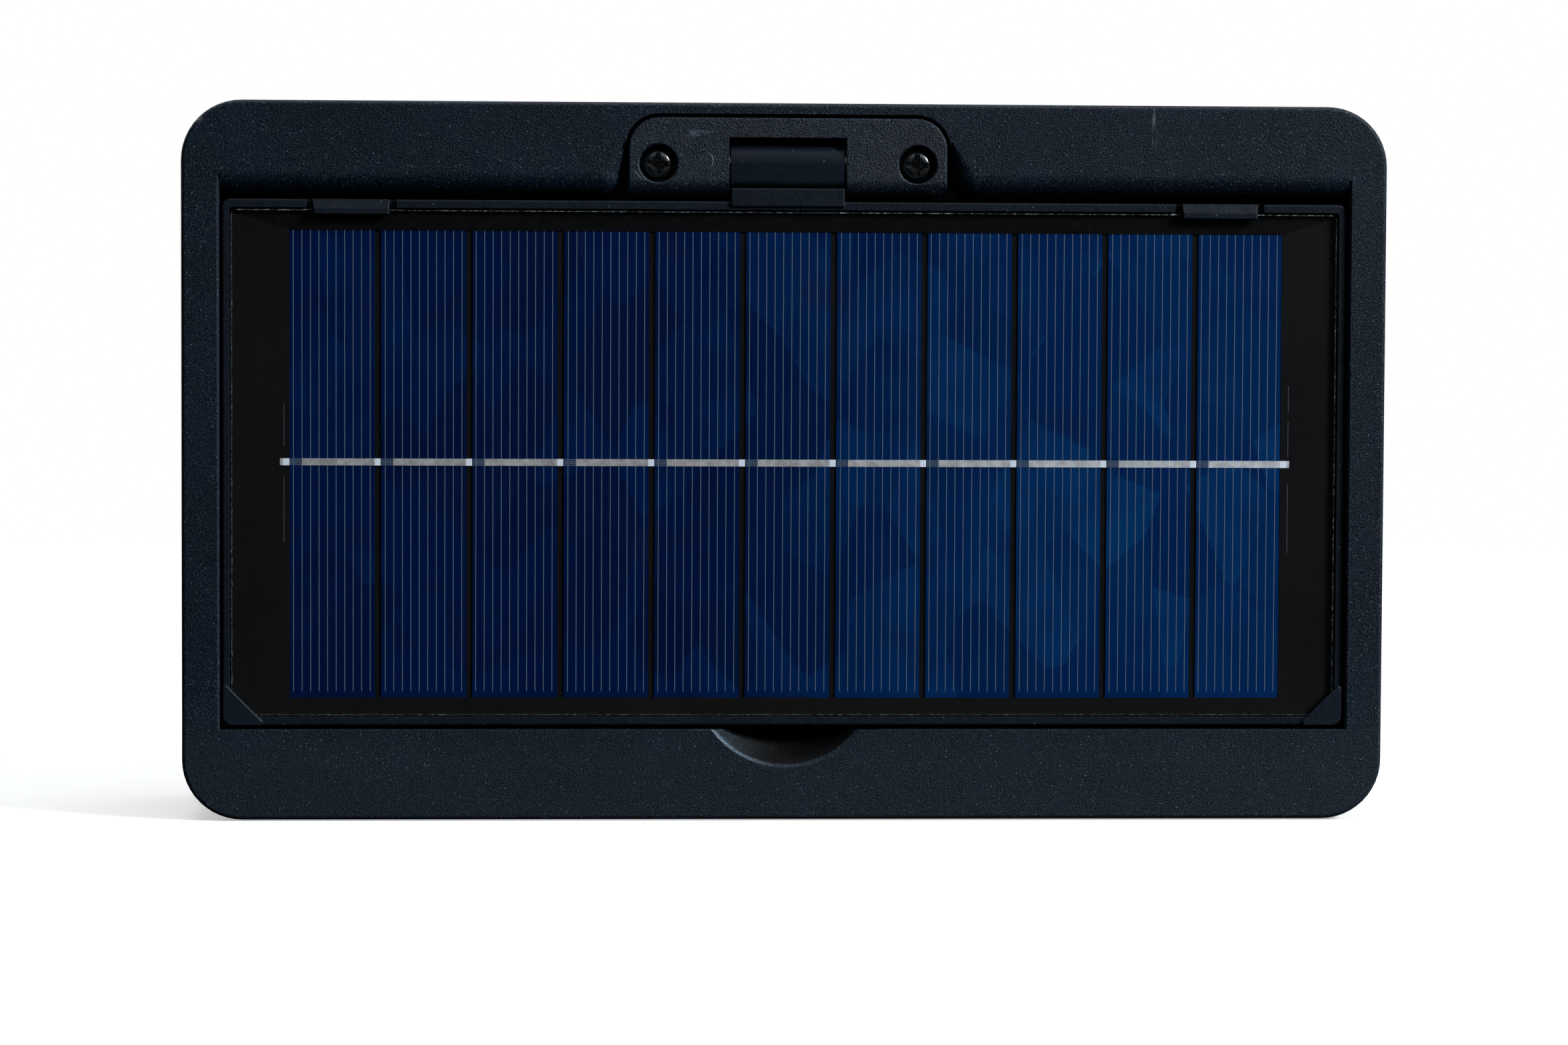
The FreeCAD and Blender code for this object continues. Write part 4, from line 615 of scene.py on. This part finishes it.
# ---------------------------------------------------------------- printed lines on the cells
def printed_lines():
    """Fingers down every cell and the open busbar pad at its left, in silver paste."""
    low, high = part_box("solar_cells")
    ribbon_low, ribbon_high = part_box("cell_ribbons")
    middle = (ribbon_low.z + ribbon_high.z) / 2
    pitch = (high.x - low.x - CELL_WIDTH * MM) / (CELL_COUNT - 1)
    face, back = low.y - 0.02 * MM, low.y + 0.01 * MM
    half = 0.058 * MM
    fingers = bmesh.new()
    pads = bmesh.new()
    for i in range(CELL_COUNT):
        left = low.x + i * pitch
        for j in range(FINGERS):
            x = left + (0.62 + FINGER_PITCH * j + 0.08 * math.sin(2.4 * i)) * MM
            add_box(fingers, (x - half, face, low.z + 1.05 * MM), (x + half, back, high.z - 0.02 * MM))
        for rail, thick in ((-0.50, 0.05), (-0.14, 0.06), (0.14, 0.06), (0.50, 0.05)):
            z = middle + rail * MM
            low_corner = (left + 0.05 * MM, face - 0.01 * MM, z - thick * MM)
            add_box(pads, low_corner, (left + 2.0 * MM, back, z + thick * MM))
        for rung in range(7):
            x = left + (0.16 + 0.28 * rung) * MM
            low_corner = (x - 0.05 * MM, face - 0.01 * MM, middle - 0.5 * MM)
            add_box(pads, low_corner, (x + 0.05 * MM, back, middle + 0.5 * MM))
    paste = silver_paste().material
    piece_from("cell_fingers", fingers, "solar_panel", paste)
    piece_from("busbar_pads", pads, "solar_panel", paste)


def end_lines():
    """Edges of the collecting ribbons that just show beside the first and last cell."""
    low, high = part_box("solar_cells")
    face = low.y - 0.10 * MM
    mesh = bmesh.new()
    left, right = low.x - 0.95 * MM, high.x + 1.25 * MM
    runs = [(left, 46.0, 57.0), (left, 62.0, 69.0)]
    runs += [(right, 44.5, 56.0), (right, 60.6, 66.5), (right, 68.0, 72.5)]
    for x, z0, z1 in runs:
        add_box(mesh, (x - 0.06 * MM, face, z0 * MM), (x + 0.06 * MM, face + 0.03 * MM, z1 * MM))
    s = speckled("dull_ribbon", (0.035, 0.038, 0.045), 0.5)
    piece_from("end_ribbons", mesh, "solar_panel", s.material)


# ---------------------------------------------------------------- motion sensor dome
def outward(tilt, turn):
    """Direction on a ball that bulges to +Y: tilt from its tip, turn about it."""
    return Vector((math.sin(tilt) * math.cos(turn), math.cos(tilt), math.sin(tilt) * math.sin(turn)))


def faceted_dome():
    """The dome with the small lenses that are moulded into it, each one slightly proud of the grooves."""
    low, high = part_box("pir_dome")
    centre_x, centre_z = (low.x + high.x) / 2, (low.z + high.z) / 2
    tip = high.y
    rise, radius = 8.0 * MM, 11.5 * MM
    base = tip - rise
    ball = (radius ** 2 + rise ** 2) / (2 * rise)
    middle = Vector((centre_x, tip - ball, centre_z))
    widest = math.asin(radius / ball)
    seeds = [Vector((0.0, 1.0, 0.0))]
    for ring, count in ((1, 6), (2, 12), (3, 18)):
        tilt = widest * ring / 3.45
        for k in range(count):
            turn = 2 * math.pi * (k + 0.5 * (ring % 2)) / count
            seeds.append(outward(tilt, turn))
    mesh = bmesh.new()
    rings, steps = 56, 144
    rows = []
    for i in range(rings + 1):
        tilt = widest * i / rings
        row = []
        for k in range(steps if i else 1):
            turn = 2 * math.pi * k / steps
            out = outward(tilt, turn)
            near = sorted((out - seed).length for seed in seeds)[:2]
            groove = max(0.0, 1.0 - (near[1] - near[0]) / 0.045)
            sink = 0.16 * MM * groove * groove * (3 - 2 * groove) * (1 - (i / rings) ** 8)
            row.append(mesh.verts.new(middle + out * (ball - sink)))
        rows.append(row)
    for y, r in ((base - 0.6 * MM, radius), (base - 0.6 * MM, radius - 0.8 * MM)):
        turns = [2 * math.pi * k / steps for k in range(steps)]
        places = [(centre_x + r * math.cos(t), y, centre_z + r * math.sin(t)) for t in turns]
        rows.append([mesh.verts.new(place) for place in places])
    inner = ball - 0.8 * MM
    widest_in = math.asin((radius - 0.8 * MM) / inner)
    for i in range(16, -1, -1):
        tilt = widest_in * i / 16
        turns = [2 * math.pi * k / steps for k in range(steps if i else 1)]
        rows.append([mesh.verts.new(middle + outward(tilt, t) * inner) for t in turns])
    for upper, lower in zip(rows, rows[1:]):
        for k in range(steps):
            a, b = upper[k % len(upper)], upper[(k + 1) % len(upper)]
            c, d = lower[(k + 1) % len(lower)], lower[k % len(lower)]
            corners = [v for n, v in enumerate((a, b, c, d)) if v not in (a, b, c, d)[:n]]
            if len(corners) > 2:
                mesh.faces.new(corners)
    for face in mesh.faces:
        face.smooth = True
    dome = piece_from("pir_lens", mesh, "housing", NODES["pir_dome"].data.materials[0])
    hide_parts("pir_dome")


# ---------------------------------------------------------------- stage
def soft_world():
    """White to the camera; as light it is bright above, on the right, and dark below."""
    world = bpy.data.worlds.new("studio")
    bpy.context.scene.world = world
    world.use_nodes = True
    tree = world.node_tree
    tree.nodes.clear()
    out = tree.nodes.new("ShaderNodeOutputWorld")
    seen = tree.nodes.new("ShaderNodeBackground")
    seen.inputs[0].default_value = (1.0, 1.0, 1.0, 1.0)
    seen.inputs[1].default_value = 1.0
    cast = tree.nodes.new("ShaderNodeBackground")
    where = tree.nodes.new("ShaderNodeTexCoord")
    dot = tree.nodes.new("ShaderNodeVectorMath")
    dot.operation = "DOT_PRODUCT"
    dot.inputs[1].default_value = Vector((0.45, -0.1, 0.88)).normalized()
    tree.links.new(where.outputs["Generated"], dot.inputs[0])
    ramp = tree.nodes.new("ShaderNodeMapRange")
    for socket, value in zip(list(ramp.inputs)[1:5], (0.2, 0.95, 0.006, 0.9)):
        socket.default_value = value
    tree.links.new(dot.outputs["Value"], ramp.inputs[0])
    cast.inputs[0].default_value = (0.86, 0.93, 1.0, 1.0)
    tree.links.new(ramp.outputs[0], cast.inputs[1])
    path = tree.nodes.new("ShaderNodeLightPath")
    mix = tree.nodes.new("ShaderNodeMixShader")
    tree.links.new(path.outputs["Is Camera Ray"], mix.inputs[0])
    tree.links.new(cast.outputs[0], mix.inputs[1])
    tree.links.new(seen.outputs[0], mix.inputs[2])
    tree.links.new(mix.outputs[0], out.inputs[0])


def pale_floor():
    """White paper under the part, brighter away from it."""
    mesh = bmesh.new()
    bmesh.ops.create_grid(mesh, x_segments=1, y_segments=1, size=6.0)
    data = bpy.data.meshes.new("floor")
    mesh.to_mesh(data)
    mesh.free()
    floor = bpy.data.objects.new("floor", data)
    floor.location.z = -0.0002
    bpy.context.scene.collection.objects.link(floor)
    s = Surface("floor_paper", Specular_IOR_Level=0.1)
    s.set("Base Color", s.mix(s.noise(400.0, 2.0), (0.86, 0.865, 0.87), (0.89, 0.89, 0.895)))
    s.set("Roughness", s.ramp(s.noise(30.0, 3.0), 0.3, 0.7, 0.8, 0.9))
    s.relief(s.noise(2.0, 3.0), 0.01, 0.2)
    glow = s.add("ShaderNodeEmission")
    glow.inputs["Color"].default_value = (1.0, 1.0, 1.0, 1.0)
    blend = s.add("ShaderNodeMixShader")
    flat = s.add("ShaderNodeVectorMath", operation="LENGTH")
    s.link(s.place, flat.inputs[0])
    s.link(s.ramp(flat.outputs["Value"], 220.0, 900.0, 0.45, 1.0), blend.inputs[0])
    s.link(s.shader.outputs[0], blend.inputs[1])
    s.link(glow.outputs[0], blend.inputs[2])
    s.link(blend.outputs[0], s.output.inputs["Surface"])
    dress(floor, s.material)
    floor.visible_glossy = False
    floor.visible_diffuse = False


def soft_light(name, place, target, size, watts, colour=(1.0, 1.0, 1.0)):
    data = bpy.data.lights.new(name, "AREA")
    data.shape = "DISK"
    data.size = size
    data.energy = watts
    data.color = colour
    light = bpy.data.objects.new(name, data)
    light.location = place
    light.rotation_euler = (Vector(target) - Vector(place)).to_track_quat("-Z", "Y").to_euler()
    bpy.context.scene.collection.objects.link(light)


def lights():
    """Main light at the upper right, weak ones from above and behind."""
    middle = (0.0, 0.0, 0.06)
    soft_light("key", (1.95, -1.15, 1.35), middle, 0.7, 120.0, (0.94, 0.98, 1.0))
    soft_light("top", (0.0, 0.1, 1.5), middle, 1.4, 14.0)
    soft_light("back_fill", (-0.9, 1.5, 0.8), middle, 2.0, 24.0)


def camera():
    """Long lens, nearly straight on to the solar panel."""
    data = bpy.data.cameras.new("camera")
    data.sensor_width = 36.0
    data.lens = 100.0
    data.clip_start = 0.01
    data.clip_end = 50.0
    eye = bpy.data.objects.new("camera", data)
    eye.location = (-0.0374, -0.7479, 0.0840)
    eye.rotation_euler = (math.radians(87.27), math.radians(-0.26), math.radians(-2.92))
    bpy.context.scene.collection.objects.link(eye)
    bpy.context.scene.camera = eye


dress_frame()
printed_lines()
end_lines()
faceted_dome()
soft_world()
pale_floor()
lights()
camera()
bpy.context.scene.view_settings.view_transform = "Standard"


def corners(bounds):
    return [[float(value) for value in corner] for corner in bounds]
